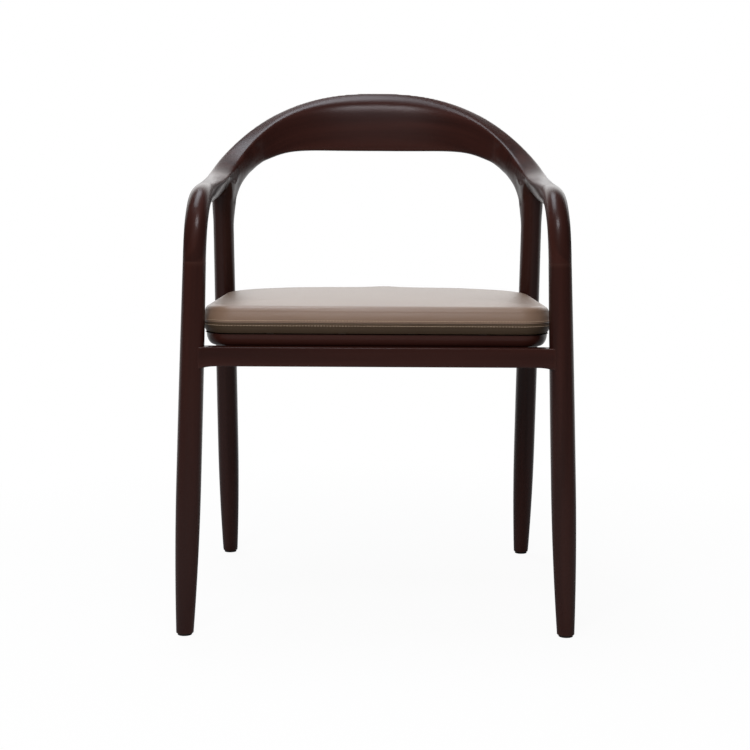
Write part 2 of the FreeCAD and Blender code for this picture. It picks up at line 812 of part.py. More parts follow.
seam = size("seam_height")
cushion_top = size("seat_top_height") + size("seat_crown")
skin = size("leather_thickness")
gap = size("cloth_clearance")
board_bottom = size("board_bottom_height")
board_top = board_bottom + size("board_thickness")
edge_radius = size("cushion_edge_radius")
seam_radius = size("cushion_seam_radius")


def cushion(offset):
    """The upholstered top from its seam up: crowned, rounded over and drawn in at the seam."""
    body = slab(offset, seam, cushion_top + edge_radius)
    half_depth = (size("seat_front_setback") + size("seat_back_depth")) / 2
    crown_radius = half_depth ** 2 / (2 * size("seat_crown"))
    crown_centre = Vector(0, -size("seat_crown_setback"), cushion_top - crown_radius)
    body = body.common(Part.makeSphere(crown_radius - offset, crown_centre))
    body = body.makeFillet(edge_radius - offset, edges_between(body, seam + edge_radius, 2 * cushion_top))
    return body.makeFillet(seam_radius - offset / 2, edges_between(body, 0, seam + NEAR))


node(feature("seat_cover_top", cushion(0).cut(cushion(skin))), "seat_cover_top")

foam_base = slab(skin + gap + seam_radius, board_top, seam + seam_radius)
node(feature("seat_foam", cushion(skin + gap).fuse(foam_base)), "seat_foam")

hem_bottom = board_bottom - skin
border = slab(0, hem_bottom, seam - gap)
border = border.makeFillet(seam_radius, edges_between(border, hem_bottom + seam_radius, seam))
border = border.cut(slab(skin, board_bottom, cushion_top))
border = border.cut(slab(size("hem_width"), hem_bottom - skin, cushion_top))

board = slab(skin + gap, board_bottom, board_top)

shell_top = hem_bottom - size("staple_wire")
shell_edge = size("shell_edge_radius")
shell = slab(size("shell_reveal"), size("rail_top_height"), shell_top)
shell = shell.makeFillet(shell_edge, edges_between(shell, 0, size("rail_top_height") + NEAR))
shell = feature("seat_shell_blank", shell)

# Staples in the hem, their crowns along its middle line

# Places of the staples along each straight side, as shares of that side.
staple_shares = (0.10, 0.37, 0.63, 0.90)


def staple(middle, along):
    """U of square wire: the crown under the hem, two legs up through it into the board."""
    wire = size("staple_wire")
    crown_length = size("staple_crown")
    rise = wire + skin + size("staple_leg")
    outer = Part.makeBox(crown_length, wire, rise, Vector(-crown_length / 2, -wire / 2, 0))
    inner_corner = Vector(wire - crown_length / 2, -wire, wire)
    inner = Part.makeBox(crown_length - 2 * wire, 2 * wire, rise, inner_corner)
    shape = outer.cut(inner)
    shape.Placement = FreeCAD.Placement(middle, FreeCAD.Rotation(ACROSS, along))
    return shape


hem_half = size("hem_width") / 2
hem_x = size("seat_half_width") - hem_half
hem_front = -size("seat_front_setback") + hem_half
hem_back = size("seat_back_depth") - hem_half
front_corner = size("seat_front_corner_radius")
back_corner = size("seat_back_corner_radius")
hem_sides = [
    (hem_front, hem_x - front_corner),
    (hem_back, hem_x - back_corner),
]
staple_shapes = []
for share in staple_shares:
    for y, half in hem_sides:
        staple_shapes.append(staple(Vector(blend(-half, half, share), y, shell_top), ACROSS))
    y = blend(hem_front + front_corner, hem_back - back_corner, share)
    for x in (hem_x, -hem_x):
        staple_shapes.append(staple(Vector(x, y, shell_top), BACK))
staples = node(feature("staple_set", Part.makeCompound(staple_shapes)), "seat_staples")
node(cut("seat_cover_border", feature("border_blank", border), [staples]), "seat_cover_border")

# Screws from the shell into the board

shell_bottom = size("rail_top_height")
screw_spots = [
    Vector(size("screw_half_spread"), y, shell_bottom)
    for y in (-size("screw_front_setback"), size("screw_back_depth"))
]
screws = []
for index, spot in enumerate(screw_spots):
    tag = "board_screw_%d" % (index + 1)
    head = doc.addObject("Part::Cone", tag + "_head")
    expression(
        head,
        Radius1="Sizes.screw_head_diameter / 2",
        Radius2="Sizes.screw_diameter / 2",
        Height="Sizes.screw_head_height",
    )
    head.Placement.Base = spot
    shank = rod(tag + "_shank", spot, UP, "Sizes.screw_diameter / 2", "Sizes.screw_length")
    screws.append(fuse(tag, [head, shank]))
board_screws = node(both_sides("board_screws", screws), "board_screws")
node(cut("seat_board", feature("board_blank", board), [staples, board_screws]), "seat_board")

# Bearers from rail to rail, dowelled at both ends

bearer_front = front_rail_end.y + size("front_rail_depth") / 2
bearer_back = rear_rail_end.y - size("rear_rail_depth") / 2
bearer_bottom = size("rail_top_height") - size("bearer_height")
bearer_x = size("bearer_half_spread")
bearer_stock = doc.addObject("Part::Box", "bearer_stock")
expression(bearer_stock, Width="Sizes.bearer_width", Height="Sizes.bearer_height")
bearer_stock.Length = bearer_back - bearer_front
bearer_stock.Placement = FreeCAD.Placement(
    Vector(bearer_x + size("bearer_width") / 2, bearer_front, bearer_bottom), FreeCAD.Rotation(ACROSS, BACK)
)

bearer_dowels = []
bearer_bores = []
for end_y, side in [(bearer_front, "front"), (bearer_back, "back")]:
    for sign in (-1, 1):
        spot = Vector(
            bearer_x + sign * size("bearer_dowel_pitch") / 2,
            end_y - size("dowel_length") / 2,
            bearer_bottom + size("bearer_height") / 2,
        )
        tag = "bearer_dowel_%s_%d" % (side, sign + 2)
        bearer_dowels.append(rod(tag, spot, BACK, "Sizes.dowel_diameter / 2", "Sizes.dowel_length"))
        bearer_bores.append(
            rod(
                tag + "_bore",
                spot - BACK * size("dowel_clearance"),
                BACK,
                "Sizes.dowel_diameter / 2 + Sizes.dowel_clearance",
                "Sizes.dowel_length + 2 * Sizes.dowel_clearance",
            )
        )
node(both_sides("bearer_dowels", bearer_dowels), "bearer_dowels")
all_bearer_bores = both_sides("bearer_bores", bearer_bores)

# Bolts up through the bearers into inserts in the shell

bolts = []
washers = []
inserts = []
bolt_holes = []
insert_seats = []
for index, y in enumerate((bearer_front + size("bolt_inset"), bearer_back - size("bolt_inset"))):
    tag = "seat_bolt_%d" % (index + 1)
    under = Vector(bearer_x, y, bearer_bottom)
    washer_low = under - UP * size("washer_thickness")
    washer_disc = rod(
        tag + "_washer_disc", washer_low, UP, "Sizes.washer_diameter / 2", "Sizes.washer_thickness"
    )
    hole_low = washer_low - UP * size("cut_overrun")
    hole = rod(
        tag + "_hole",
        hole_low,
        UP,
        "Sizes.bolt_hole_diameter / 2",
        "Sizes.bearer_height + Sizes.washer_thickness + Sizes.cut_overrun",
    )
    washers.append(cut(tag + "_washer", washer_disc, [hole]))
    bolt_head = rod(
        tag + "_head",
        washer_low - UP * size("bolt_head_height"),
        UP,
        "Sizes.bolt_head_diameter / 2",
        "Sizes.bolt_head_height",
    )
    bolt_shank = rod(tag + "_shank", washer_low, UP, "Sizes.bolt_diameter / 2", "Sizes.bolt_length")
    bolts.append(fuse(tag, [bolt_head, bolt_shank]))
    seat_spot = Vector(bearer_x, y, shell_bottom)
    insert_rod = rod(tag + "_insert_rod", seat_spot, UP, "Sizes.insert_diameter / 2", "Sizes.insert_length")
    inserts.append(cut(tag + "_insert", insert_rod, [bolt_shank]))
    bolt_holes.append(hole)
    insert_seats.append(insert_rod)
node(both_sides("seat_bolts", bolts), "seat_bolts")
node(both_sides("seat_bolt_washers", washers), "seat_bolt_washers")
node(both_sides("seat_inserts", inserts), "seat_inserts")
seat_seats = both_sides("insert_seats", insert_seats)
node(cut("seat_shell", shell, [seat_seats, board_screws]), "seat_shell")
bearer = node(cut("seat_bearer_right", bearer_stock, bearer_bores + bolt_holes), "seat_bearer_right")
node(mirror("seat_bearer_left", bearer), "seat_bearer_left")

# The bearers' dowels enter both rails

for name in ("front_rail", "rear_rail"):
    whole = doc.getObject(name)
    nodes.remove(whole)
    whole.Label = name + "_whole"
    node(cut(name + "_bored", whole, [all_bearer_bores]), name)

doc.recompute()

for target in doc.Objects:
    if "Invalid" in target.State or "Error" in target.State:
        raise RuntimeError("%s is %s" % (target.Label, target.State))
for target in nodes:
    if target.Shape.isNull() or not target.Shape.isValid():
        raise RuntimeError("%s has no valid shape" % target.Label)

os.makedirs("parts", exist_ok=True)
for target in nodes:
    target.Shape.exportStep("parts/%s.step" % target.Label)
    print(target.Label, len(target.Shape.Solids), "solids", round(target.Shape.Volume), "cubic mm")
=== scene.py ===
import math

import bmesh
import bpy
import numpy as np
from mathutils import Matrix, Vector


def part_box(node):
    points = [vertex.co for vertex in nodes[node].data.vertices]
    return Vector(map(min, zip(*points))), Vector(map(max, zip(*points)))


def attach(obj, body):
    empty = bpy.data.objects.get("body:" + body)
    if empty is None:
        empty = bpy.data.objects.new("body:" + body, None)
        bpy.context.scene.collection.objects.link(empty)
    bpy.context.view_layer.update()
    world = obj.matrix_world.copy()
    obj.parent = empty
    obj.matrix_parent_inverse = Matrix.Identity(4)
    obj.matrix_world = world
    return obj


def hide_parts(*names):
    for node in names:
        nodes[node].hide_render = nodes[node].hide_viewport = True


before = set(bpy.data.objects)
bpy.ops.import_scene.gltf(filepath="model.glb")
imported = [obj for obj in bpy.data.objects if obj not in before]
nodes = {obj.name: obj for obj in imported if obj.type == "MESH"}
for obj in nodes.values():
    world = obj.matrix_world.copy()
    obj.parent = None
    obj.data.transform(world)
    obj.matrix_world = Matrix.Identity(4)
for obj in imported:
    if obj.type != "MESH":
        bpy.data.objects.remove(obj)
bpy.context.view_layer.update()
print("frame loaded:", len(nodes), "nodes")

scene = bpy.context.scene
scene.view_settings.view_transform = "Standard"
up = np.array([0.0, 0.0, 1.0])
sideways = np.array([1.0, 0.0, 0.0])
sectionCorners = [(1, 1), (-1, 1), (-1, -1), (1, -1)]  # signs along a section's two directions


# Surfaces: grids of points, splines and closed sections

def unit(rows):
    return rows / np.linalg.norm(rows, axis=-1, keepdims=True)


def splineThrough(knots, values, places):
    # natural cubic spline: second derivatives m solve the usual three-term rows, then each
    # span is a cubic between its two ends
    gaps = np.diff(knots)
    count = len(knots)
    system = np.zeros((count, count))
    system[0, 0] = system[-1, -1] = 1
    inner = np.arange(1, count - 1)
    system[inner, inner - 1] = gaps[:-1]
    system[inner, inner] = 2 * (gaps[:-1] + gaps[1:])
    system[inner, inner + 1] = gaps[1:]
    flat = values.reshape(count, -1)
    slopes = np.diff(flat, axis=0) / gaps[:, None]
    right = np.zeros_like(flat)
    right[1:-1] = 6 * np.diff(slopes, axis=0)
    bends = np.linalg.solve(system, right)
    span = np.clip(np.searchsorted(knots, places, side="right") - 1, 0, count - 2)
    gap = gaps[span][:, None]
    a = (knots[span + 1] - places)[:, None] / gap
    b = 1 - a
    curved = ((a ** 3 - a) * bends[span] + (b ** 3 - b) * bends[span + 1]) * gap ** 2 / 6
    return (a * flat[span] + b * flat[span + 1] + curved).reshape((len(places),) + values.shape[1:])


def roundedSection(corners, softness):
    # closed cubic spline's twelve poles: each of four corners is pulled towards its two
    # neighbours by half its softness, and in from the corner by the softness again
    soft = softness[..., None]
    before = corners + (np.roll(corners, 1, axis=-2) - corners) * soft / 2
    after = corners + (np.roll(corners, -1, axis=-2) - corners) * soft / 2
    middle = corners + ((before + after) / 2 - corners) * soft
    poles = np.stack([before, middle, after], axis=-2)
    return poles.reshape(corners.shape[:-2] + (12, 3))


def closedSpline(poles, steps):
    # uniform cubic B-spline round the poles: p(t) = sum of four poles times their blending cubics
    t = np.arange(steps) / steps
    weights = np.stack([
        (1 - t) ** 3,
        3 * t ** 3 - 6 * t ** 2 + 4,
        -3 * t ** 3 + 3 * t ** 2 + 3 * t + 1,
        t ** 3,
    ]) / 6
    near = np.stack([np.roll(poles, shift, axis=-2) for shift in (1, 0, -1, -2)])
    points = np.einsum("ks,k...pc->...psc", weights, near)
    return points.reshape(poles.shape[:-2] + (-1, 3))


def carriedSurface(sections, softness, steps, spacing):
    # profile along a path: the sections' poles are splined along the length, then each
    # section is drawn as a closed spline
    poles = roundedSection(sections, softness)
    middles = poles.mean(axis=1)
    knots = np.concatenate([[0], np.cumsum(np.linalg.norm(np.diff(middles, axis=0), axis=1))])
    places = np.linspace(0, knots[-1], int(knots[-1] / spacing) + 1)
    return closedSpline(splineThrough(knots, poles, places), steps)


def ringQuads(rows, columns, endless=False):
    # quads between neighbouring rows that each close on themselves; endless joins the last row to
    # the first one
    first = np.arange(rows if endless else rows - 1)[:, None]
    here = np.arange(columns)[None, :]
    following = (here + 1) % columns
    low = first * columns
    high = (first + 1) % rows * columns
    return np.stack([low + here, low + following, high + following, high + here], -1).reshape(-1, 4)


def gridMesh(name, grid, capped=True):
    # skin over a grid that closes round its columns, with a fan at each end
    rows, columns = grid.shape[:2]
    points = grid.reshape(-1, 3)
    faces = ringQuads(rows, columns).tolist()
    if capped:
        low = len(points)
        points = np.vstack([points, grid[0].mean(0), grid[-1].mean(0)])
        last = (rows - 1) * columns
        here = np.arange(columns)
        following = (here + 1) % columns
        faces += np.stack([following, here, np.full(columns, low)], -1).tolist()
        faces += np.stack([last + here, last + following, np.full(columns, low + 1)], -1).tolist()
    mesh = bpy.data.meshes.new(name)
    mesh.from_pydata(points.tolist(), [], faces)
    return outward(mesh)


def outward(mesh, merged=True):
    # faces turned outwards, once points that coincide are one
    form = bmesh.new()
    form.from_mesh(mesh)
    if merged:
        bmesh.ops.remove_doubles(form, verts=form.verts, dist=1e-6)
    bmesh.ops.recalc_face_normals(form, faces=form.faces)
    form.to_mesh(mesh)
    form.free()
    return mesh


def addPiece(name, mesh, replaced, sharpAngle=40):
    mesh.polygons.foreach_set("use_smooth", np.ones(len(mesh.polygons), bool))
    mesh.set_sharp_from_angle(angle=math.radians(sharpAngle))
    piece = bpy.data.objects.new(name, mesh)
    scene.collection.objects.link(piece)
    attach(piece, "root")
    if replaced:
        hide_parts(*replaced)
    return piece


def meshPoints(mesh):
    points = np.empty(len(mesh.vertices) * 3, np.float32)
    mesh.vertices.foreach_get("co", points)
    return points.reshape(-1, 3).astype(float)


def setPoints(mesh, points):
    mesh.vertices.foreach_set("co", np.ascontiguousarray(points, np.float32).ravel())
    mesh.update()


def mirrored(mesh, name):
    copy = mesh.copy()
    copy.name = name
    setPoints(copy, meshPoints(copy) * [-1, 1, 1])
    copy.flip_normals()
    return copy


# Camera: 2.27 m in front of the chair's middle and a little above the seat

camera = {
    "place": (-0.0005, -2.267, 0.616), "lens": 71.4, "sensor": 36, "tiltDown": 7.03, "roll": 0.3,
    "shift": -0.0017,
}
eye = bpy.data.objects.new("camera", bpy.data.cameras.new("camera"))
scene.collection.objects.link(eye)
eye.data.lens = camera["lens"]
eye.data.sensor_width = camera["sensor"]
eye.data.shift_x = camera["shift"]
eye.location = camera["place"]
aim = Matrix.Rotation(math.radians(90 - camera["tiltDown"]), 4, "X")
eye.rotation_euler = (aim @ Matrix.Rotation(math.radians(camera["roll"]), 4, "Z")).to_euler()
scene.camera = eye
print("camera placed")


# Materials. Shared effects are node groups; each material keeps its own shader.

def addNode(tree, kind, **settings):
    made = tree.nodes.new(kind)
    for key, value in settings.items():
        setattr(made, key, value)
    return made


def newGroup(name, inputs, outputs):
    tree = bpy.data.node_groups.new(name, "ShaderNodeTree")
    for label, kind, value in inputs:
        socket = tree.interface.new_socket(name=label, in_out="INPUT", socket_type=kind)
        if value is not None:
            socket.default_value = value
    for label, kind in outputs:
        tree.interface.new_socket(name=label, in_out="OUTPUT", socket_type=kind)
    return tree, tree.nodes.new("NodeGroupInput"), tree.nodes.new("NodeGroupOutput")


def addRamp(tree, source, stops):
    ramp = tree.nodes.new("ShaderNodeValToRGB")
    elements = ramp.color_ramp.elements
    while len(elements) < len(stops):
        elements.new(0.5)
    for element, (place, value) in zip(elements, stops):
        element.position = place
        element.color = (value, value, value, 1)
    tree.links.new(source, ramp.inputs[0])
    return ramp.outputs[0]


def addMath(tree, operation, first, second):
    made = tree.nodes.new("ShaderNodeMath")
    made.operation = operation
    for index, value in enumerate((first, second)):
        if isinstance(value, (int, float)):
            made.inputs[index].default_value = value
        else:
            tree.links.new(value, made.inputs[index])
    return made.outputs[0]


def mixColours(tree, share, first, second):
    made = addNode(tree, "ShaderNodeMix", data_type="RGBA")
    for socket, value in ((made.inputs[0], share), (made.inputs[6], first), (made.inputs[7], second)):
        if isinstance(value, (int, float, tuple)):
            socket.default_value = value
        else:
            tree.links.new(value, socket)
    return made.outputs[2]


def newMaterial(name):
    material = bpy.data.materials.new(name)
    material.use_nodes = True
    tree = material.node_tree
    return material, tree, tree.nodes["Principled BSDF"]


def objectPlace(tree):
    return addNode(tree, "ShaderNodeTexCoord").outputs["Object"]


def addBump(tree, shader, height, distance, strength):
    bump = addNode(tree, "ShaderNodeBump")
    bump.inputs["Distance"].default_value = distance
    bump.inputs["Strength"].default_value = strength
    tree.links.new(height, bump.inputs["Height"])
    tree.links.new(bump.outputs[0], shader.inputs["Normal"])


def grainGroup():
    # long streaks and fine pores, both stretched along the grain (third coordinate)
    tree, inside, outside = newGroup(
        "woodGrain",
        [("Coordinates", "NodeSocketVector", None), ("Streak Scale", "NodeSocketFloat", 38.0),
         ("Pore Scale", "NodeSocketFloat", 700.0)],
        [("Streaks", "NodeSocketFloat"), ("Pores", "NodeSocketFloat"), ("Clouds", "NodeSocketFloat")],
    )
    results = []
    for stretch, scaleName, detail, stops in (
        ((1, 1, 0.045), "Streak Scale", 5.0, [(0.32, 0.0), (0.68, 1.0)]),
        ((1, 1, 0.03), "Pore Scale", 2.0, [(0.30, 0.0), (0.46, 1.0)]),
        ((0.25, 0.25, 0.08), "Streak Scale", 2.0, [(0.30, 0.0), (0.70, 1.0)]),
    ):
        squeeze = addNode(tree, "ShaderNodeMapping")
        squeeze.inputs["Scale"].default_value = stretch
        tree.links.new(inside.outputs["Coordinates"], squeeze.inputs["Vector"])
        noise = addNode(tree, "ShaderNodeTexNoise")
        noise.inputs["Detail"].default_value = detail
        noise.inputs["Distortion"].default_value = 0.4
        tree.links.new(squeeze.outputs[0], noise.inputs["Vector"])
        tree.links.new(inside.outputs[scaleName], noise.inputs["Scale"])
        results.append(addRamp(tree, noise.outputs[0], stops))
    for socket, result in zip(outside.inputs, results):
        tree.links.new(result, socket)
    return tree


def edgeGroup():
    # lighter where the surface turns sharply outwards, as a rubbed edge is
    tree, inside, outside = newGroup(
        "rubbedEdges", [("Strength", "NodeSocketFloat", 1.0)], [("Mask", "NodeSocketFloat")]
    )
    geometry = addNode(tree, "ShaderNodeNewGeometry")
    mask = addRamp(tree, geometry.outputs["Pointiness"], [(0.505, 0.0), (0.56, 1.0)])
    tree.links.new(addMath(tree, "MULTIPLY", mask, inside.outputs["Strength"]), outside.inputs[0])
    return tree


woodGrain = grainGroup()
rubbedEdges = edgeGroup()

darkWood = {
    "deep": (0.0150, 0.0048, 0.0038, 1), "warm": (0.0430, 0.0125, 0.0090, 1),
    "rubbed": (0.060, 0.024, 0.018, 1), "roughness": (0.34, 0.46), "specular": 0.10,
    "coat": 0.38, "coatRoughness": 0.25, "cloudShare": 0.55, "rubbedShare": 0.5,
    "poreDepth": 0.00004, "poreStrength": 0.6,
}


def makeDarkWood(name, followsGrain=True, turn=(0, 0, 0)):
    # grain by the piece's own attribute, or straight through it and turned
    material, tree, shader = newMaterial(name)
    if followsGrain:
        place = addNode(tree, "ShaderNodeAttribute", attribute_name="grainPlace").outputs["Vector"]
    else:
        mapping = addNode(tree, "ShaderNodeMapping")
        mapping.inputs["Rotation"].default_value = turn
        tree.links.new(objectPlace(tree), mapping.inputs["Vector"])
        place = mapping.outputs[0]
    grain = addNode(tree, "ShaderNodeGroup", node_tree=woodGrain)
    edges = addNode(tree, "ShaderNodeGroup", node_tree=rubbedEdges)
    tree.links.new(place, grain.inputs["Coordinates"])
    colour = mixColours(tree, grain.outputs["Streaks"], darkWood["deep"], darkWood["warm"])
    clouds = addMath(tree, "MULTIPLY", grain.outputs["Clouds"], darkWood["cloudShare"])
    colour = mixColours(tree, clouds, colour, darkWood["warm"])
    worn = addMath(tree, "MULTIPLY", edges.outputs[0], darkWood["rubbedShare"])
    colour = mixColours(tree, worn, colour, darkWood["rubbed"])
    tree.links.new(colour, shader.inputs["Base Color"])
    low, high = darkWood["roughness"]
    rough = addMath(tree, "ADD", addMath(tree, "MULTIPLY", grain.outputs["Clouds"], high - low), low)
    tree.links.new(rough, shader.inputs["Roughness"])
    shader.inputs["Specular IOR Level"].default_value = darkWood["specular"]
    shader.inputs["Coat Weight"].default_value = darkWood["coat"]
    shader.inputs["Coat Roughness"].default_value = darkWood["coatRoughness"]
    addBump(tree, shader, grain.outputs["Pores"], darkWood["poreDepth"], darkWood["poreStrength"])
    return material


woodMaterial = makeDarkWood("darkWood")
woodAlongY = makeDarkWood("darkWoodAlongY", False, (math.radians(90), 0, 0))
print("wood materials made")


# Carried rail: one closed section swept from the left front leg round the back to the right one

rail = {
    "halfWidth": 0.248, "armFrontHalfWidth": 0.244, "backDepth": 0.2265, "curveStart": 0.020,
    "crestTop": 0.7815, "crestBottom": 0.6819, "armTop": 0.640, "armFrontTop": 0.627, "armBottom": 0.597,
    "armFrontSetback": 0.165, "elbowRadius": 0.075, "elbowDiameter": 0.0315, "legJointDrop": 0.016,
    "planPower": 2.4, "crestFallPower": 1.42, "stepsRound": 6, "spacing": 0.003, "jointTurn": 50,
    "armJointDepth": 0.060, "neckOverrun": 0.012,
}
# rows: turn, low share, four sides, nose drop, outer lift, four softnesses
crestRows = np.array([
    (0, 1.00, 0.39, -0.40, -0.45, 0.22, 0.60, 0.06, 0.28, 0.50, 0.34, 0.40),
    (12, 1.00, 0.39, -0.40, -0.45, 0.24, 0.55, 0.06, 0.28, 0.52, 0.34, 0.40),
    (24, 0.998, 0.40, -0.41, -0.44, 0.28, 0.42, 0.04, 0.30, 0.54, 0.36, 0.42),
    (34, 0.955, 0.41, -0.42, -0.43, 0.32, 0.32, 0.00, 0.32, 0.48, 0.38, 0.45),
    (44, 0.83, 0.42, -0.44, -0.41, 0.36, 0.28, -0.04, 0.34, 0.36, 0.42, 0.50),
    (54, 0.68, 0.43, -0.48, -0.36, 0.40, 0.28, -0.14, 0.36, 0.34, 0.50, 0.55),
    (64, 0.48, 0.46, -0.54, -0.26, 0.46, 0.28, -0.28, 0.38, 0.32, 0.60, 0.60),
    (73, 0.29, 0.50, -0.58, -0.18, 0.52, 0.27, -0.36, 0.42, 0.32, 0.65, 0.62),
    (82, 0.15, 0.50, -0.58, -0.16, 0.50, 0.25, -0.36, 0.45, 0.34, 0.68, 0.64),
])
armRows = np.array([
    (0.10, 0.08, 0.49, -0.54, -0.20, 0.44, 0.23, -0.30, 0.50, 0.40, 0.70, 0.66),
    (0.45, 0.04, 0.49, -0.50, -0.30, 0.45, 0.18, -0.18, 0.60, 0.52, 0.72, 0.70),
    (0.78, 0.02, 0.50, -0.50, -0.42, 0.48, 0.08, -0.06, 0.68, 0.66, 0.73, 0.73),
])
glideHeight = 0.003
roundSoftness = 0.732  # with roundReach, makes a four-cornered section a circle
roundReach = 1.011

frontLeg = {
    "foot": (0.2665, -0.245), "top": (0.2482, -0.240), "footDiameter": 0.024, "diameter": 0.0344,
    "swellHeight": 0.215,
}
rearLeg = {
    "foot": (0.250, 0.240), "head": (0.244, 0.100), "footDiameter": 0.024, "diameter": 0.034,
    "swellHeight": 0.210, "topDiameter": 0.0312, "rise": 0.028, "branchStart": 0.520, "branchRise": 0.080,
    "branchRun": 0.060, "branchEndDrop": 0.009, "branchEndTurn": 54, "filletVoxel": 0.0016,
    "webStart": 0.24, "webEnd": 0.90, "webTop": 0.630, "webThickness": (0.020, 0.022),
    "webOverlap": 0.001, "webRadius": 0.0105, "legEase": 0.012, "forkStart": 0.545, "forkRise": 0.05,
    "crispDepth": 0.095, "crispDepthRise": 0.02, "crispWidth": 0.240, "crispWidthRise": 0.012,
    "crispEase": 0.003, "crestEase": 0.026, "carveStep": 0.002,
    "branchRadii": ((0, 0.3, 0.5, 0.75, 1), (0.010, 0.0145, 0.0155, 0.014, 0.006)),
}


def planPoint(turn):
    # superellipse in plan: x = a sin(turn)^(2/n), y = b cos(turn)^(2/n)
    angle = np.radians(turn)
    power = 2 / rail["planPower"]
    x = rail["halfWidth"] * np.abs(np.sin(angle)) ** power
    y = rail["curveStart"] + rail["backDepth"] * np.maximum(np.cos(angle), 0) ** power
    return np.stack([x * np.sign(turn + 1e-12), y, np.zeros_like(x)], -1)


def planNormal(turn):
    # level and square to the plan line, by the difference over one degree
    run = planPoint(turn + 0.5) - planPoint(turn - 0.5)
    return unit(np.cross(up, run))


def topHeight(turn):
    rise = rail["crestTop"] - rail["armTop"]
    return rail["armTop"] + rise * np.cos(np.radians(turn)) ** rail["crestFallPower"]


def lowHeight(share):
    return rail["armBottom"] + (rail["crestBottom"] - rail["armBottom"]) * share


def railSections(middle, side, top, rows):
    # four corners of each upright section, as shares of the elbow's diameter from the plan line
    width = rail["elbowDiameter"]
    bottom = lowHeight(rows[:, 0])
    heights = np.stack([top, top - rows[:, 5] * width, bottom, bottom + rows[:, 6] * width], -1)
    return middle[:, None] + side[:, None] * (rows[:, 1:5] * width)[..., None] + heights[..., None] * up


def roundSections(middles, side, rise, diameters):
    half = np.asarray(diameters)[:, None, None] / 2 * roundReach
    return middles[:, None] + half * np.stack([side * a + rise * b for a, b in sectionCorners], 1)


legTop = np.array([*frontLeg["top"], rail["armFrontTop"] - rail["elbowDiameter"] / 2 - rail["elbowRadius"]])
legFoot = np.array([*frontLeg["foot"], 0.0])
legLine = unit(legTop - legFoot)
legJoint = legTop - legLine * rail["legJointDrop"]


def railHalf():
    # right half of the rail: crest, curve, arm, elbow, and the round neck on the front leg
    turns = crestRows[:, 0]
    crest = railSections(planPoint(turns), planNormal(turns), topHeight(turns), crestRows[:, 1:])
    share = armRows[:, 0]
    armMiddles = np.stack([
        rail["halfWidth"] + (rail["armFrontHalfWidth"] - rail["halfWidth"]) * share,
        rail["curveStart"] - (rail["armFrontSetback"] + rail["curveStart"]) * share,
        np.zeros_like(share),
    ], -1)
    across = np.tile(sideways, (len(share), 1))
    armTops = rail["armTop"] + (rail["armFrontTop"] - rail["armTop"]) * share
    arm = railSections(armMiddles, across, armTops, armRows[:, 1:])
    angle = np.radians([0, 22.5, 45, 67.5])
    elbowTop = np.array([
        rail["armFrontHalfWidth"], -rail["armFrontSetback"], legTop[2] + rail["elbowRadius"],
    ])
    elbowMiddles = np.stack([
        elbowTop[0] + (legTop[0] - elbowTop[0]) * angle / (math.pi / 2),
        elbowTop[1] + (legTop[1] - elbowTop[1]) * np.sin(angle),
        elbowTop[2] - rail["elbowRadius"] * (1 - np.cos(angle)),
    ], -1)
    across = np.tile(sideways, (4, 1))
    rise = np.stack([np.zeros(4), -np.sin(angle), np.cos(angle)], -1)
    elbow = roundSections(elbowMiddles, across, rise, [rail["elbowDiameter"]] * 4)
    legSide = unit(sideways - legLine * legLine[0])
    pair = np.array([legTop, legJoint - legLine * rail["neckOverrun"]])
    legRise = np.cross(legSide, legLine)
    neck = roundSections(
        pair, np.tile(legSide, (2, 1)), np.tile(legRise, (2, 1)), [rail["elbowDiameter"]] * 2
    )
    sections = np.concatenate([crest, arm, elbow, neck])
    softness = np.concatenate([crestRows[:, 8:], armRows[:, 8:], np.full((6, 4), roundSoftness)])
    return sections, softness


def railMiddle(turn):
    point = planPoint(np.array([float(turn)]))[0]
    bottom = lowHeight(np.interp(turn, crestRows[:, 0], crestRows[:, 1]))
    return point + up * (bottom + topHeight(turn)) / 2


def railRun(turn):
    # direction of the rail at a turn, towards the middle of the crest
    return unit(railMiddle(turn - 2) - railMiddle(turn + 2))


sectionsRight, softnessRight = railHalf()
sectionsLeft = sectionsRight[:0:-1] * [-1, 1, 1]
railGrid = carriedSurface(
    np.concatenate([sectionsLeft, sectionsRight]),
    np.concatenate([softnessRight[:0:-1], softnessRight]),
    rail["stepsRound"], rail["spacing"],
)
railMesh = gridMesh("carriedRail", railGrid)
print("carried rail:", len(railMesh.vertices), "points")


# Legs: turned about their lines, two long arcs that meet at the swell

def turnedGrid(foot, line, stations, radii, steps):
    # circle of radius r(s) round the line at s: foot + line s + r (cos a side + sin a cross)
    side = unit(sideways - line * line[0])
    other = np.cross(line, side)
    angle = np.linspace(0, 2 * math.pi, steps, endpoint=False)
    circle = np.cos(angle)[:, None] * side + np.sin(angle)[:, None] * other
    return foot + stations[:, None, None] * line + radii[:, None, None] * circle


def swellRadii(stations, length, footRadius, swellRadius, swellHeight, topRadius):
    # arcs on circles whose centres are level with the swell: r = c + sqrt(R^2 - (s - h)^2)
    def arc(radius, reach):
        shrink = swellRadius - radius
        big = (reach ** 2 + shrink ** 2) / (2 * shrink)
        return swellRadius - big + np.sqrt(big ** 2 - (stations - swellHeight) ** 2)
    low = arc(footRadius, swellHeight)
    high = arc(topRadius, length - swellHeight)
    return np.where(stations < swellHeight, low, high)


def legGrid(foot, line, length, values, topRadius):
    # the lowest rows slide up the leg's line to a level end on top of the glide
    stations = np.linspace(0, length, 160)
    radii = swellRadii(
        stations, length, values["footDiameter"] / 2, values["diameter"] / 2, values["swellHeight"], topRadius
    )
    grid = turnedGrid(foot, line, stations, radii, 56)
    short = np.maximum(glideHeight - grid[..., 2], 0)
    return grid + (short / line[2])[..., None] * line


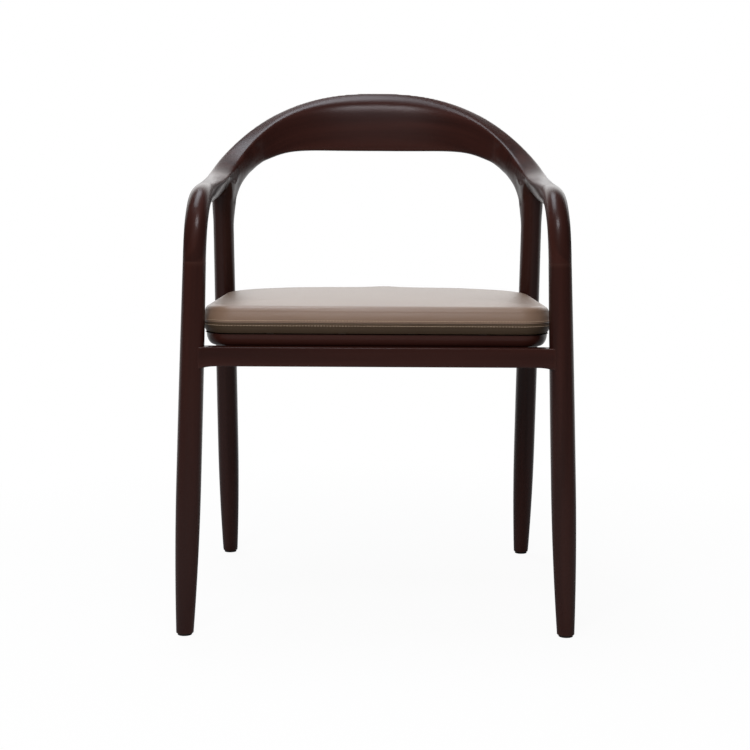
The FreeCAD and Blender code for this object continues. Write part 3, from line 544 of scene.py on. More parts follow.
frontLength = np.linalg.norm(legJoint - legFoot)
frontGrid = legGrid(legFoot, legLine, frontLength, frontLeg, rail["elbowDiameter"] / 2)
frontMesh = gridMesh("frontLegRight", frontGrid)

rearFoot = np.array([*rearLeg["foot"], 0.0])
rearHead = np.array([*rearLeg["head"], rail["armBottom"]])
rearLine = unit(rearHead - rearFoot)
shaftLength = np.linalg.norm(rearHead - rearFoot) + rearLeg["rise"]
shaftGrid = legGrid(rearFoot, rearLine, shaftLength, rearLeg, rearLeg["topDiameter"] / 2)
shaftMesh = gridMesh("rearShaft", shaftGrid)

# rows: share of the spine, then width and depth as shares of the shaft's diameter
branchRows = np.array([
    (0.0, 0.80, 0.80), (0.25, 0.90, 0.92), (0.5, 0.88, 1.0), (0.75, 0.78, 1.0), (1.0, 0.62, 0.90),
])


def branchLine(t):
    # cubic Bezier spine from the shaft into the crest: its points, its direction and the crest's
    runLine = railRun(rail["jointTurn"])
    start = rearFoot + (rearHead - rearFoot) * (rearLeg["branchStart"] / rearHead[2])
    end = railMiddle(rearLeg["branchEndTurn"]) - up * rearLeg["branchEndDrop"]
    a, d = start, end
    b = start + rearLine * rearLeg["branchRise"]
    c = end - runLine * rearLeg["branchRun"]
    s = 1 - t
    spine = s ** 3 * a + 3 * s ** 2 * t * b + 3 * s * t ** 2 * c + t ** 3 * d
    along = unit(s ** 2 * (b - a) + 2 * s * t * (c - b) + t ** 2 * (d - c))
    return spine, along, runLine


def shaftBeside(spine):
    # the shaft's middle level with each point of the spine, no higher than the web's top
    heights = np.minimum(spine[:, 2:], rearLeg["webTop"])
    return rearFoot + rearLine * (heights / rearLine[2])


def branchMesh():
    # oval section splined along the spine
    t = branchRows[:, :1]
    spine, along, runLine = branchLine(t)
    out = sideways * (1 - t) + unit(np.cross(runLine, up)) * t
    out = unit(out - along * (out * along).sum(1, keepdims=True))
    rise = np.cross(along, out)
    half = rearLeg["diameter"] / 2 * roundReach
    wide = out * (branchRows[:, 1:2] * half)
    deep = rise * (branchRows[:, 2:3] * half)
    sections = spine[:, None] + np.stack([wide * a + deep * b for a, b in sectionCorners], 1)
    grid = carriedSurface(sections, np.full((len(t), 4), roundSoftness), 5, 0.002)
    return gridMesh("rearBranch", grid)


def webMesh():
    # flat-faced web that fills the fork: each section is an oblong whose ends lie on the two spines
    t = np.linspace(rearLeg["webStart"], rearLeg["webEnd"], 9)[:, None]
    spine, along, _ = branchLine(t)
    shaft = shaftBeside(spine)
    across = spine - shaft
    thin, thick = rearLeg["webThickness"]
    thickness = thin + (thick - thin) * np.linspace(0, 1, len(t))[:, None] ** 1.5
    face = unit(np.cross(across, along)) * thickness / 2
    past = unit(across) * rearLeg["webOverlap"]
    low, high = shaft - past, spine + past
    sections = np.stack([low + face, high + face, high - face, low - face], 1)
    grid = carriedSurface(sections, np.full((len(t), 4), 0.2), 5, 0.002)
    return gridMesh("rearWeb", grid)


rightBranch = branchMesh()
rightWeb = webMesh()
print("legs and branch made")


# Head: rail, shafts and branches are made one skin, and the hollow between leg and crest is
# eased as a carver does; then the skin is parted at the glued joints

def joinMeshes(name, meshes):
    form = bmesh.new()
    for mesh in meshes:
        form.from_mesh(mesh)
    joined = bpy.data.meshes.new(name)
    form.to_mesh(joined)
    form.free()
    return joined


def oneSkin(mesh, voxel):
    holder = bpy.data.objects.new("skinHolder", mesh)
    scene.collection.objects.link(holder)
    step = holder.modifiers.new("skin", "REMESH")
    step.mode = "VOXEL"
    step.voxel_size = voxel
    depsgraph = bpy.context.evaluated_depsgraph_get()
    skin = bpy.data.meshes.new_from_object(holder.evaluated_get(depsgraph))
    bpy.data.objects.remove(holder)
    return skin


flip = np.array([-1.0, 1, 1])
leftShaft = mirrored(shaftMesh, "rearShaftLeft")
leftBranch = mirrored(rightBranch, "rearBranchLeft")
leftWeb = mirrored(rightWeb, "rearWebLeft")
headForms = [railMesh, shaftMesh, leftShaft, rightBranch, leftBranch, rightWeb, leftWeb]
skin = oneSkin(joinMeshes("frameSkin", headForms), rearLeg["filletVoxel"])
print("one skin:", len(skin.vertices), "points")


def softMin(first, second, reach):
    # smooth union of two distances: the lesser, less h^2 k / 4, where h falls from 1 to 0 as they
    # part by k
    near = np.maximum(reach - np.abs(first - second), 0) / reach
    return np.minimum(first, second) - near ** 2 * reach / 4


def nearestIn(points, samples):
    # number of the nearest sample for each point, in blocks to save memory
    nearest = np.empty(len(points), np.int64)
    squares = (samples ** 2).sum(1) / 2
    for start in range(0, len(points), 3000):
        block = points[start:start + 3000]
        nearest[start:start + 3000] = (squares - block @ samples.T).argmin(1)
    return nearest


def ballGap(points, centres, radii):
    # least distance to a row of balls, by |p - c|^2 = |p|^2 + |c|^2 - 2 p.c
    squares = (points ** 2).sum(1)[:, None] + (centres ** 2).sum(1) - 2 * points @ centres.T
    return (np.sqrt(np.maximum(squares, 0)) - radii).min(1)


def headForm():
    # samples of the head's parts: the rail's surface, then the middles of branch and web
    rows = railGrid[len(railGrid) // 2:]
    down = np.gradient(rows, axis=0)
    around = np.roll(rows, -1, axis=1) - np.roll(rows, 1, axis=1)
    outs = unit(np.cross(down, around))
    middle = rows.mean(axis=1, keepdims=True)
    outs *= np.sign(((rows - middle) * outs).sum(-1, keepdims=True))
    near = (rows[..., 1] > 0.03) & (rows[..., 0] > 0.14)
    t = np.linspace(0, 1, 70)[:, None]
    spine = branchLine(t)[0]
    branchRadii = np.interp(t[:, 0], *rearLeg["branchRadii"])
    shaft = shaftBeside(spine)
    share = np.linspace(0, 1, 9)[:, None, None]
    web = (shaft + (spine - shaft) * share)[:, (t[:, 0] > 0.1) & (t[:, 0] < 0.9)].reshape(-1, 3)
    return rows[near], outs[near], spine, branchRadii, web


railSamples, railOuts, spineSamples, spineRadii, webSamples = headForm()


def headGap(points):
    # signed distance to the carved head: shaft, branch and web flow together, then into the rail
    along = (points - rearFoot) @ rearLine
    aside = np.linalg.norm(points - rearFoot - along[:, None] * rearLine, axis=1)
    stations = (shaftGrid.mean(axis=1) - rearFoot) @ rearLine
    radii = np.linalg.norm(shaftGrid[:, 0] - shaftGrid.mean(axis=1), axis=1)
    shaft = np.maximum(aside - np.interp(along, stations, radii), along - shaftLength)
    branch = ballGap(points, spineSamples, spineRadii)
    web = ballGap(points, webSamples, rearLeg["webRadius"])
    fork = (points[:, 2] - rearLeg["forkStart"]) / rearLeg["forkRise"]
    legEase = rearLeg["legEase"] * np.clip(fork, 0.01, 1)
    leg = softMin(softMin(shaft, branch, legEase), web, legEase)
    nearest = nearestIn(points, railSamples)
    carried = ((points - railSamples[nearest]) * railOuts[nearest]).sum(1)
    towardsCrest = (points[:, 1] - rearLeg["crispDepth"]) / rearLeg["crispDepthRise"]
    inward = (rearLeg["crispWidth"] - points[:, 0]) / rearLeg["crispWidthRise"]
    below = np.clip(0.6 - 1.2 * railOuts[nearest, 2], 0, 1)
    easing = np.clip(np.maximum(towardsCrest, inward), 0, 1) * below
    reach = rearLeg["crispEase"] + (rearLeg["crestEase"] - rearLeg["crispEase"]) * easing
    return softMin(leg, carried, reach)


def carveHead(mesh, inside, steps):
    # each point near the head moves along its normal until its distance is nil
    points = meshPoints(mesh)
    normals = np.empty(len(points) * 3, np.float32)
    fold = np.where(points[:, :1] < 0, flip, 1.0)[inside]  # the left head is carved as the right one
    step = rearLeg["carveStep"]
    for number in range(steps):
        mesh.vertex_normals.foreach_get("vector", normals)
        gap = headGap(points[inside] * fold)
        points[inside] -= normals.reshape(-1, 3)[inside] * np.clip(gap, -step, step)[:, None]
        setPoints(mesh, points)


def neighbourMean(mesh):
    # gives a function that takes one row of values a point to the means over its neighbours
    edges = np.empty(len(mesh.edges) * 2, np.int64)
    mesh.edges.foreach_get("vertices", edges)
    first, second = edges.reshape(-1, 2).T
    total = len(mesh.vertices)
    count = np.bincount(first, minlength=total) + np.bincount(second, minlength=total)

    def mean(values):
        sums = [
            np.bincount(first, axis[second], total) + np.bincount(second, axis[first], total)
            for axis in values.T
        ]
        return np.stack(sums, -1) / count[:, None]
    return mean


def smoothed(mesh, inside, passes, weight=0.5):
    # each pass moves a point part of the way to the mean of its neighbours, and the next one back
    points = meshPoints(mesh)
    mean = neighbourMean(mesh)
    for number in range(passes):
        share = weight if number % 2 == 0 else -weight * 1.04
        points += (mean(points) - points) * (share * inside)[:, None]
    setPoints(mesh, points)


def cutAt(mesh, planes):
    # new edges where each plane crosses, with nothing taken away
    form = bmesh.new()
    form.from_mesh(mesh)
    for point, normal in planes:
        geometry = form.verts[:] + form.edges[:] + form.faces[:]
        bmesh.ops.bisect_plane(form, geom=geometry, dist=1e-6, plane_co=point, plane_no=normal)
    form.to_mesh(mesh)
    form.free()


def keptPart(mesh, name, keep):
    # the faces marked in keep, with their open rims closed flat
    form = bmesh.new()
    form.from_mesh(mesh)
    form.faces.ensure_lookup_table()
    dropped = [form.faces[index] for index in np.flatnonzero(~keep)]
    bmesh.ops.delete(form, geom=dropped, context="FACES")
    rim = [edge for edge in form.edges if edge.is_boundary]
    bmesh.ops.holes_fill(form, edges=rim, sides=0)
    part = bpy.data.meshes.new(name)
    form.to_mesh(part)
    form.free()
    return part


def addGrainPlace(mesh, line):
    # where a point lies in the wood: two offsets from the member's line, then the way along it
    points = meshPoints(mesh)
    runs = np.concatenate([[0], np.cumsum(np.linalg.norm(np.diff(line, axis=0), axis=1))])
    along = unit(np.gradient(line, axis=0))
    nearest = nearestIn(points, line)
    offset = points - line[nearest]
    ahead = (offset * along[nearest]).sum(1)
    side = unit(np.cross(along, up + np.array([0, 1e-3, 0])))[nearest]
    lift = np.cross(side, along[nearest])
    place = np.stack([(offset * side).sum(1), (offset * lift).sum(1), runs[nearest] + ahead], -1)
    attribute = mesh.attributes.new("grainPlace", "FLOAT_VECTOR", "POINT")
    attribute.data.foreach_set("vector", place.astype(np.float32).ravel())


headLimits = {"outside": 0.165, "behind": 0.045, "above": 0.54}


def headBox(points):
    outside = np.abs(points[:, 0]) > headLimits["outside"]
    return outside & (points[:, 1] > headLimits["behind"]) & (points[:, 2] > headLimits["above"])


carveHead(skin, headBox(meshPoints(skin)), 6)
skin = oneSkin(skin, rearLeg["filletVoxel"])
smoothed(skin, np.ones(len(skin.vertices)), 6)
nearHead = headBox(meshPoints(skin))
carveHead(skin, nearHead, 3)
smoothed(skin, nearHead.astype(float), 40)
print("heads carved:", int(nearHead.sum()), "points")

cornerNormal = unit(railRun(rail["jointTurn"]) * [1, 1, 0])
crestJoint = railMiddle(rail["jointTurn"])
cutAt(skin, [
    (crestJoint, cornerNormal), (crestJoint * flip, cornerNormal * flip),
    ((0, rail["armJointDepth"], 0), (0, 1, 0)),
    (legJoint, legLine), (legJoint * flip, legLine * flip),
])
centres = np.empty(len(skin.polygons) * 3, np.float32)
skin.polygons.foreach_get("center", centres)
centres = centres.reshape(-1, 3).astype(float)
folded = centres.copy()
folded[:, 0] = np.abs(folded[:, 0])
headHigh = centres[:, 2] > 0.56
inCrest = headHigh & ((folded - crestJoint) @ cornerNormal > 0)
inFront = centres[:, 1] < rail["armJointDepth"]
aboveLeg = (folded - legJoint) @ legLine > 0
inArm = inFront & aboveLeg & ~inCrest
inLeg = ~inCrest & ~inFront
onRight = centres[:, 0] > 0
railLine = railGrid.mean(axis=1)
shaftLine = shaftGrid.mean(axis=1)
frontLine = frontGrid.mean(axis=1)

woodPieces = [
    ("crestRail", keptPart(skin, "crestRail", inCrest), ["crest_rail"], railLine),
    ("armRight", keptPart(skin, "armRight", inArm & onRight), ["arm_right"], railLine),
    ("armLeft", keptPart(skin, "armLeft", inArm & ~onRight), ["arm_left"], railLine),
    ("rearLegRight", keptPart(skin, "rearLegRight", inLeg & onRight), ["rear_leg_right"], shaftLine),
    ("rearLegLeft", keptPart(skin, "rearLegLeft", inLeg & ~onRight), ["rear_leg_left"], shaftLine * flip),
    ("frontLegRight", frontMesh, ["front_leg_right"], frontLine),
    ("frontLegLeft", mirrored(frontMesh, "frontLegLeft"), ["front_leg_left"], frontLine * flip),
]


# Rails between the legs: a softened bar that flares into each leg

crossRails = {
    "front": {"node": "front_rail", "face": 0.2359, "reach": 0.2460, "depth": 0.024, "height": 0.027},
    "rear": {"node": "rear_rail", "face": 0.2290, "reach": 0.2390, "depth": 0.024, "height": 0.027},
    "top": 0.405, "flare": 0.0018, "flareLength": 0.022, "softness": 0.22,
}


def crossRailMesh(name, values):
    # rounded oblong section along X: the flare f grows as the cube of the way into the end
    low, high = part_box(values["node"])
    middleY = (low.y + high.y) / 2
    across = np.linspace(-values["reach"], values["reach"], 180)
    start = values["face"] - crossRails["flareLength"]
    way = np.clip((np.abs(across) - start) / crossRails["flareLength"], 0, 1.25)
    flare = crossRails["flare"] * way ** 3
    halfDepth = values["depth"] / 2 + flare / 2
    bottom = crossRails["top"] - values["height"] - flare
    top = np.full_like(across, crossRails["top"])
    y = np.stack([halfDepth, -halfDepth, -halfDepth, halfDepth], -1) + middleY
    z = np.stack([top, top, bottom, bottom], -1)
    sections = np.stack([np.repeat(across[:, None], 4, 1), y, z], -1)
    grid = closedSpline(roundedSection(sections, np.full((len(across), 4), crossRails["softness"])), 6)
    line = np.stack([across, np.full_like(across, middleY), top - values["height"] / 2], -1)
    return gridMesh(name, grid), line


for key, pieceName in (("front", "frontRail"), ("rear", "rearRail")):
    mesh, line = crossRailMesh(pieceName, crossRails[key])
    woodPieces.append((pieceName, mesh, [crossRails[key]["node"]], line))


# Seat: every layer follows one outline, drawn in by its own inset at each height

seat = {
    "halfWidth": 0.2425, "front": -0.246, "back": 0.219, "frontRadius": 0.045, "backRadius": 0.158,
    "top": 0.4645, "crown": 0.0058, "backFall": 0.0014, "seam": 0.437, "hem": 0.4228, "hemInset": 0.0055,
    "shellTop": 0.4218, "shellBottom": 0.4043, "shellEdge": 0.0105, "shellReveal": 0.0055,
    "edgeRadius": 0.009, "topInset": 0.0032, "crease": 0.0016,
    "creasePlace": (0.012, 0.185), "creaseSize": (0.026, 0.03), "lip": 0.0008, "around": 420,
}


def heading(degrees):
    angle = np.radians(degrees)
    return np.stack([np.cos(angle), np.sin(angle)], -1)


def outlineParts(steps):
    # for each step round the seat: centre of its corner's arc, outward direction, arc radius
    w, front, back = seat["halfWidth"], seat["front"], seat["back"]
    spots = np.array([(w, back), (-w, back), (-w, front), (w, front)])
    inward = np.array([(-1, -1), (1, -1), (1, 1), (-1, 1)])
    radii = np.array([seat["backRadius"]] * 2 + [seat["frontRadius"]] * 2)
    turns = np.array([0, 90, 180, 270])
    centres = spots + inward * radii[:, None]
    starts = centres + radii[:, None] * heading(turns + 90)
    ends = np.roll(centres + radii[:, None] * heading(turns), -1, axis=0)
    straights = np.linalg.norm(ends - starts, axis=1)
    lengths = np.stack([radii * math.pi / 2, straights], -1).ravel()
    marks = np.concatenate([[0], np.cumsum(lengths)])
    places = np.linspace(0, marks[-1], steps, endpoint=False)
    part = np.searchsorted(marks, places, side="right") - 1
    share = (places - marks[part]) / lengths[part]
    corner = part // 2
    onArc = part % 2 == 0
    direction = heading(turns[corner] + np.where(onArc, share * 90, 90))
    straightPoint = starts[corner] + (ends - starts)[corner] * share[:, None]
    radius = radii[corner]
    centre = np.where(onArc[:, None], centres[corner], straightPoint - direction * radius[:, None])
    return centre, direction, radius


outlineCentre, outlineDirection, outlineRadius = outlineParts(seat["around"])
seatMiddle = np.array([0.0, (seat["front"] + seat["back"]) / 2])


def outlineAt(inset):
    # the outline drawn in by each inset, round the same corner centres
    inset = np.asarray(inset, float)[..., None]
    reach = np.maximum(outlineRadius - inset, 0.002)
    return outlineCentre + reach[..., None] * outlineDirection


def closedInRows(insets, heights, shares, crowned=False):
    # rows from the rim inwards: inset outlines first, then the last one shrunk to the middle
    rows = outlineAt(np.asarray(insets))
    heights = np.asarray(heights)
    inner = seatMiddle + (rows[-1] - seatMiddle) * np.asarray(shares)[:, None, None]
    rimShares = 1 - np.asarray(insets) / seat["halfWidth"]
    reach = np.concatenate([rimShares, rimShares[-1] * np.asarray(shares)])
    rows = np.concatenate([rows, inner])
    heights = np.concatenate([heights, np.full(len(shares), heights[-1])])
    z = np.repeat(heights[:, None], rows.shape[1], 1)
    if crowned:
        z = z + crownFall(rows[..., 0], rows[..., 1], z, reach[:, None])
    return np.concatenate([rows, z[..., None]], -1)


def crownFall(x, y, z, reach):
    # the crown falls as the square of the share of the way out, and evenly towards the back; one small
    # crease is a bell curve in x and y; the seam stays level
    half = (seat["back"] - seat["front"]) / 2
    fall = -seat["crown"] * reach ** 2 - seat["backFall"] * (y - seatMiddle[1]) / half
    (creaseX, creaseY), (wide, deep) = seat["creasePlace"], seat["creaseSize"]
    crease = seat["crease"] * np.exp(-((x - creaseX) / wide) ** 2 - ((y - creaseY) / deep) ** 2)
    level = np.clip((z - seat["seam"]) / (seat["top"] - seat["seam"]), 0, 1)
    return (fall + crease) * level


def cushionMesh():
    # from the middle of the flat underside out to the seam, up the drawn-in side, over and in
    rise = seat["top"] - seat["seam"]
    t = np.linspace(0, 1, 15)
    sideInset = seat["topInset"] * t ** 1.5 + seat["lip"] * (1 - np.minimum(t / 0.10, 1)) ** 2
    sideHeight = seat["seam"] + t * (rise - seat["edgeRadius"])
    bend = np.radians(np.linspace(8, 90, 10))
    overInset = sideInset[-1] + seat["edgeRadius"] * (1 - np.cos(bend))
    overHeight = seat["top"] - seat["edgeRadius"] * (1 - np.sin(bend))
    topInset = np.array([0.014, 0.020, 0.028])
    insets = np.concatenate([[0.028, 0.014, 0.004], sideInset, overInset, topInset])
    heights = np.concatenate([[seat["seam"]] * 3, sideHeight, overHeight, np.full(3, seat["top"])])
    shares = np.linspace(1, 0, 26)[1:]
    grid = closedInRows(insets, heights, shares, crowned=True)
    below = seatMiddle + (outlineAt([0.028]) - seatMiddle) * np.linspace(0, 1, 14)[:-1, None, None]
    under = np.concatenate([below, np.full(below.shape[:2] + (1,), seat["seam"])], -1)
    return gridMesh("seatCushion", np.concatenate([under, grid]), capped=False)


puff = {
    "voxel": 0.005, "pressure": 4, "frames": 20, "cap": 0.0010, "passes": 12,
    "pinBelow": seat["seam"] + 0.0045, "ease": 0.014,
}


def puffed(mesh):
    # cloth under pressure: a remeshed copy swells; the fine cushion takes its shift, capped and
    # averaged over neighbours, and grows free of the seam as the square of the height over it
    coarse = oneSkin(mesh, puff["voxel"])
    holder = bpy.data.objects.new("puffHolder", coarse)
    scene.collection.objects.link(holder)
    start = meshPoints(coarse)
    pins = holder.vertex_groups.new(name="pins")
    pins.add(np.flatnonzero(start[:, 2] < puff["pinBelow"]).tolist(), 1.0, "REPLACE")
    cloth = holder.modifiers.new("puff", "CLOTH")
    cloth.settings.vertex_group_mass = "pins"
    cloth.settings.use_pressure = True
    cloth.settings.uniform_pressure_force = puff["pressure"]
    cloth.settings.effector_weights.gravity = 0
    for number in range(1, puff["frames"] + 1):
        scene.frame_set(number)
    depsgraph = bpy.context.evaluated_depsgraph_get()
    moved = bpy.data.meshes.new_from_object(holder.evaluated_get(depsgraph))
    shift = meshPoints(moved) - start
    bpy.data.objects.remove(holder)
    scene.frame_set(1)
    length = np.linalg.norm(shift, axis=1, keepdims=True)
    shift *= np.minimum(1, puff["cap"] / np.maximum(length, 1e-9))
    points = meshPoints(mesh)
    shift = shift[nearestIn(points, start)]
    mean = neighbourMean(mesh)
    for number in range(puff["passes"]):
        shift = mean(shift)
    free = np.clip((points[:, 2] - puff["pinBelow"]) / puff["ease"], 0, 1) ** 2
    setPoints(mesh, points + shift * free[:, None])
    return mesh


leatherTop = {
    "colour": (0.195, 0.125, 0.085, 1), "worn": (0.235, 0.160, 0.112, 1), "roughness": 0.36,
    "specular": 0.75,
}
# the border is the top's leather with its colour and worn colour darkened: painted shade on the band below
# the seam, which tucks in and faces down
shadedBorderLeather = {
    "colour": (0.062, 0.040, 0.024, 1), "worn": (0.085, 0.058, 0.036, 1), "roughness": 0.50,
    "specular": 0.25,
}
leatherFinish = {"cloudShare": 0.35, "wornShare": 0.6, "pebbleDepth": 0.00012, "pebbleStrength": 0.5}


def leatherGroup():
    # pebbles between fine creases, soft clouds of tone
    tree, inside, outside = newGroup(
        "leatherGrain",
        [("Coordinates", "NodeSocketVector", None), ("Pebble Scale", "NodeSocketFloat", 620.0)],
        [("Pebbles", "NodeSocketFloat"), ("Clouds", "NodeSocketFloat")],
    )
    pebbles = addNode(tree, "ShaderNodeTexVoronoi", feature="DISTANCE_TO_EDGE")
    tree.links.new(inside.outputs["Coordinates"], pebbles.inputs["Vector"])
    tree.links.new(inside.outputs["Pebble Scale"], pebbles.inputs["Scale"])
    tree.links.new(addRamp(tree, pebbles.outputs["Distance"], [(0.0, 0.0), (0.16, 1.0)]), outside.inputs[0])
    clouds = addNode(tree, "ShaderNodeTexNoise")
    clouds.inputs["Scale"].default_value = 14.0
    clouds.inputs["Detail"].default_value = 5.0
    tree.links.new(inside.outputs["Coordinates"], clouds.inputs["Vector"])
    tree.links.new(addRamp(tree, clouds.outputs[0], [(0.3, 0.0), (0.7, 1.0)]), outside.inputs[1])
    return tree


leatherGrain = leatherGroup()


def makeLeather(name, values):
    material, tree, shader = newMaterial(name)
    grain = addNode(tree, "ShaderNodeGroup", node_tree=leatherGrain)
    edges = addNode(tree, "ShaderNodeGroup", node_tree=rubbedEdges)
    tree.links.new(objectPlace(tree), grain.inputs["Coordinates"])
    clouds = addMath(tree, "MULTIPLY", grain.outputs["Clouds"], leatherFinish["cloudShare"])
    colour = mixColours(tree, clouds, values["colour"], values["worn"])
    worn = addMath(tree, "MULTIPLY", edges.outputs[0], leatherFinish["wornShare"])
    colour = mixColours(tree, worn, colour, values["worn"])
    tree.links.new(colour, shader.inputs["Base Color"])
    shader.inputs["Roughness"].default_value = values["roughness"]
    shader.inputs["Specular IOR Level"].default_value = values["specular"]
    addBump(
        tree, shader, grain.outputs["Pebbles"], leatherFinish["pebbleDepth"], leatherFinish["pebbleStrength"]
    )
    return material


leatherTopMaterial = makeLeather("leatherTop", leatherTop)
# the border material carries painted shade: its leather is painted darker than the top's
shadedBorderLeatherMaterial = makeLeather("shadedBorderLeather", shadedBorderLeather)

cushion = cushionMesh()
cushion = puffed(cushion)
cushionPiece = addPiece("seatCushion", cushion, ["seat_cover_top", "seat_foam"], 60)
cushionPiece.data.materials.append(leatherTopMaterial)
print("cushion made:", len(cushion.vertices), "points")


def ringMesh(name, profile):
    # closed profile of (inset, height) pairs carried round the outline
    profile = np.asarray(profile)
    rows = outlineAt(profile[:, 0])
    heights = np.repeat(profile[:, 1][:, None], rows.shape[1], 1)
    grid = np.concatenate([rows, heights[..., None]], -1)
    quads = ringQuads(*grid.shape[:2], endless=True)
    mesh = bpy.data.meshes.new(name)
    mesh.from_pydata(grid.reshape(-1, 3).tolist(), [], quads.tolist())
    return outward(mesh)


hem = {"seamGap": 0.0003, "fold": 0.012, "end": 0.026, "wall": 0.0090, "thick": 0.0011, "insideGap": 0.0008}


def borderProfile():
    # bulged band from the seam down, turned under as a hem, and back up inside
    t = np.linspace(0, 1, 16)
    bulge = seat["hemInset"] * t ** 1.8 + seat["lip"] * (1 - np.minimum(t / 0.12, 1)) ** 2
    top, low = seat["seam"] - hem["seamGap"], seat["hem"]
    band = np.stack([bulge, top - t * (top - low)], -1)
    under = [(hem["fold"], low), (hem["end"], low)]
    over = [(hem["end"], low + hem["thick"]), (hem["wall"], low + hem["thick"])]
    inside = [(hem["wall"], seat["seam"] - hem["insideGap"])]
    return np.concatenate([band, under, over, inside])


borderMesh = ringMesh("seatBorder", borderProfile())
borderPiece = addPiece("seatBorder", borderMesh, ["seat_cover_border", "seat_board"])
# the border's leather is painted darker than the top's, as shade on the band below the seam
borderPiece.data.materials.append(shadedBorderLeatherMaterial)


tray = {"topInset": 0.02, "rimInset": 0.004, "bottomInset": 0.030, "softening": 0.0006, "rim": 0.0008}


def shellMesh():
    # wooden tray under the seat: upright rim, then a quarter round drawn in to the flat underside
    bend = np.radians(np.linspace(0, 90, 12))
    reveal, top, bottom = seat["shellReveal"], seat["shellTop"], seat["shellBottom"]
    insets = np.concatenate([
        [tray["topInset"], tray["rimInset"], reveal + tray["softening"], reveal, reveal],
        reveal + seat["shellEdge"] * (1 - np.cos(bend)), [tray["bottomInset"]],
    ])
    heights = np.concatenate([
        [top, top, top, top - 0.0005, top - 0.0007],
        bottom + (top - bottom - tray["rim"]) * (1 - np.sin(bend)), [bottom],
    ])
    inner = seatMiddle + (outlineAt([tray["topInset"]]) - seatMiddle) * np.linspace(0, 1, 6)[:-1, None, None]
    over = np.concatenate([inner, np.full(inner.shape[:2] + (1,), top)], -1)
    grid = closedInRows(insets, heights, np.linspace(1, 0, 6)[1:])
    return gridMesh("seatShell", np.concatenate([over, grid]), capped=False)


shellLine = np.stack([np.linspace(-0.24, 0.24, 40), np.full(40, -0.0135), np.full(40, 0.41)], -1)
woodPieces.append(("seatShell", shellMesh(), ["seat_shell"], shellLine))

for name, mesh, replaced, line in woodPieces:
    addGrainPlace(mesh, line)
    piece = addPiece(name, mesh, replaced)
    piece.data.materials.append(woodMaterial)
print("wood pieces:", len(woodPieces))


# Stitches: two rows of thread round the seat, one each side of the seam

stitches = {
    "length": 0.0030, "pitch": 0.0042, "thick": 0.0010, "lift": 0.0002, "colour": (0.42, 0.31, 0.22, 1),
    "rows": ((0.4406, 0.0001), (0.4337, 0.0)),  # height and how far the row stands out more
}


def stitchMesh():
    # each stitch is a spindle: radius r(s) = thick/2 * sqrt(1 - s^2), laid along the outline
    outline = outlineAt([0.0])[0]
    loop = np.vstack([outline, outline[:1]])
    marks = np.concatenate([[0], np.cumsum(np.linalg.norm(np.diff(loop, axis=0), axis=1))])
    count = int(marks[-1] / stitches["pitch"])
    places = np.arange(count) * marks[-1] / count
    turning = np.unwrap(np.arctan2(outlineDirection[:, 1], outlineDirection[:, 0]))
    turning = np.append(turning, turning[0] + 2 * math.pi)
    angle = np.interp(places, marks, turning)
    middle = np.stack([np.interp(places, marks, loop[:, 0]), np.interp(places, marks, loop[:, 1])], -1)
    out = np.stack([np.cos(angle), np.sin(angle), np.zeros(count)], -1)
    along = np.stack([-np.sin(angle), np.cos(angle), np.zeros(count)], -1)
    s = np.array([-1, -0.7, 0, 0.7, 1])
    radius = stitches["thick"] / 2 * np.sqrt(np.maximum(1 - s ** 2, 0.02))
    turn = np.arange(6) * math.pi / 3
    allPoints = []
    for height, lift in stitches["rows"]:
        base = np.concatenate([middle, np.full((count, 1), height)], -1) + out * (lift + stitches["lift"])
        ring = np.cos(turn)[:, None, None] * out + np.sin(turn)[:, None, None] * up
        steps = (s * stitches["length"] / 2)[:, None, None, None] * along
        points = base[None, None] + steps + radius[:, None, None, None] * ring[None]
        allPoints.append(np.transpose(points, (2, 0, 1, 3)))
    points = np.concatenate(allPoints)
    rings, sides = len(s), len(turn)
    size = rings * sides
    first = np.arange(len(points))[:, None, None] * size
    faces = (first + ringQuads(rings, sides)[None]).reshape(-1, 4).tolist()
    ends = np.stack([np.arange(sides)[::-1], np.arange(size - sides, size)])
    faces += (first + ends[None]).reshape(-1, sides).tolist()
    mesh = bpy.data.meshes.new("seatStitches")
    mesh.from_pydata(points.reshape(-1, 3).tolist(), [], faces)
    return outward(mesh, merged=False)


def makePlain(name, colour, metallic, roughness, scale, spread):
    # clouded colour and roughness, fine bump
    material, tree, shader = newMaterial(name)
    noise = addNode(tree, "ShaderNodeTexNoise")
    noise.inputs["Scale"].default_value = scale
    noise.inputs["Detail"].default_value = 4.0
    tree.links.new(objectPlace(tree), noise.inputs["Vector"])
    mask = addRamp(tree, noise.outputs[0], [(0.3, 0.0), (0.7, 1.0)])
    lighter = tuple(min(1, part * (1 + spread)) for part in colour[:3]) + (1,)
    tree.links.new(mixColours(tree, mask, colour, lighter), shader.inputs["Base Color"])
    shader.inputs["Metallic"].default_value = metallic
    rough = addMath(tree, "ADD", addMath(tree, "MULTIPLY", mask, 0.15), roughness)
    tree.links.new(rough, shader.inputs["Roughness"])
    addBump(tree, shader, noise.outputs[0], 0.0001, 0.4)
    return material


thread = addPiece("seatStitches", stitchMesh(), [])
thread.data.materials.append(makePlain("thread", stitches["colour"], 0, 0.7, 900, 0.4))
print("stitches made")

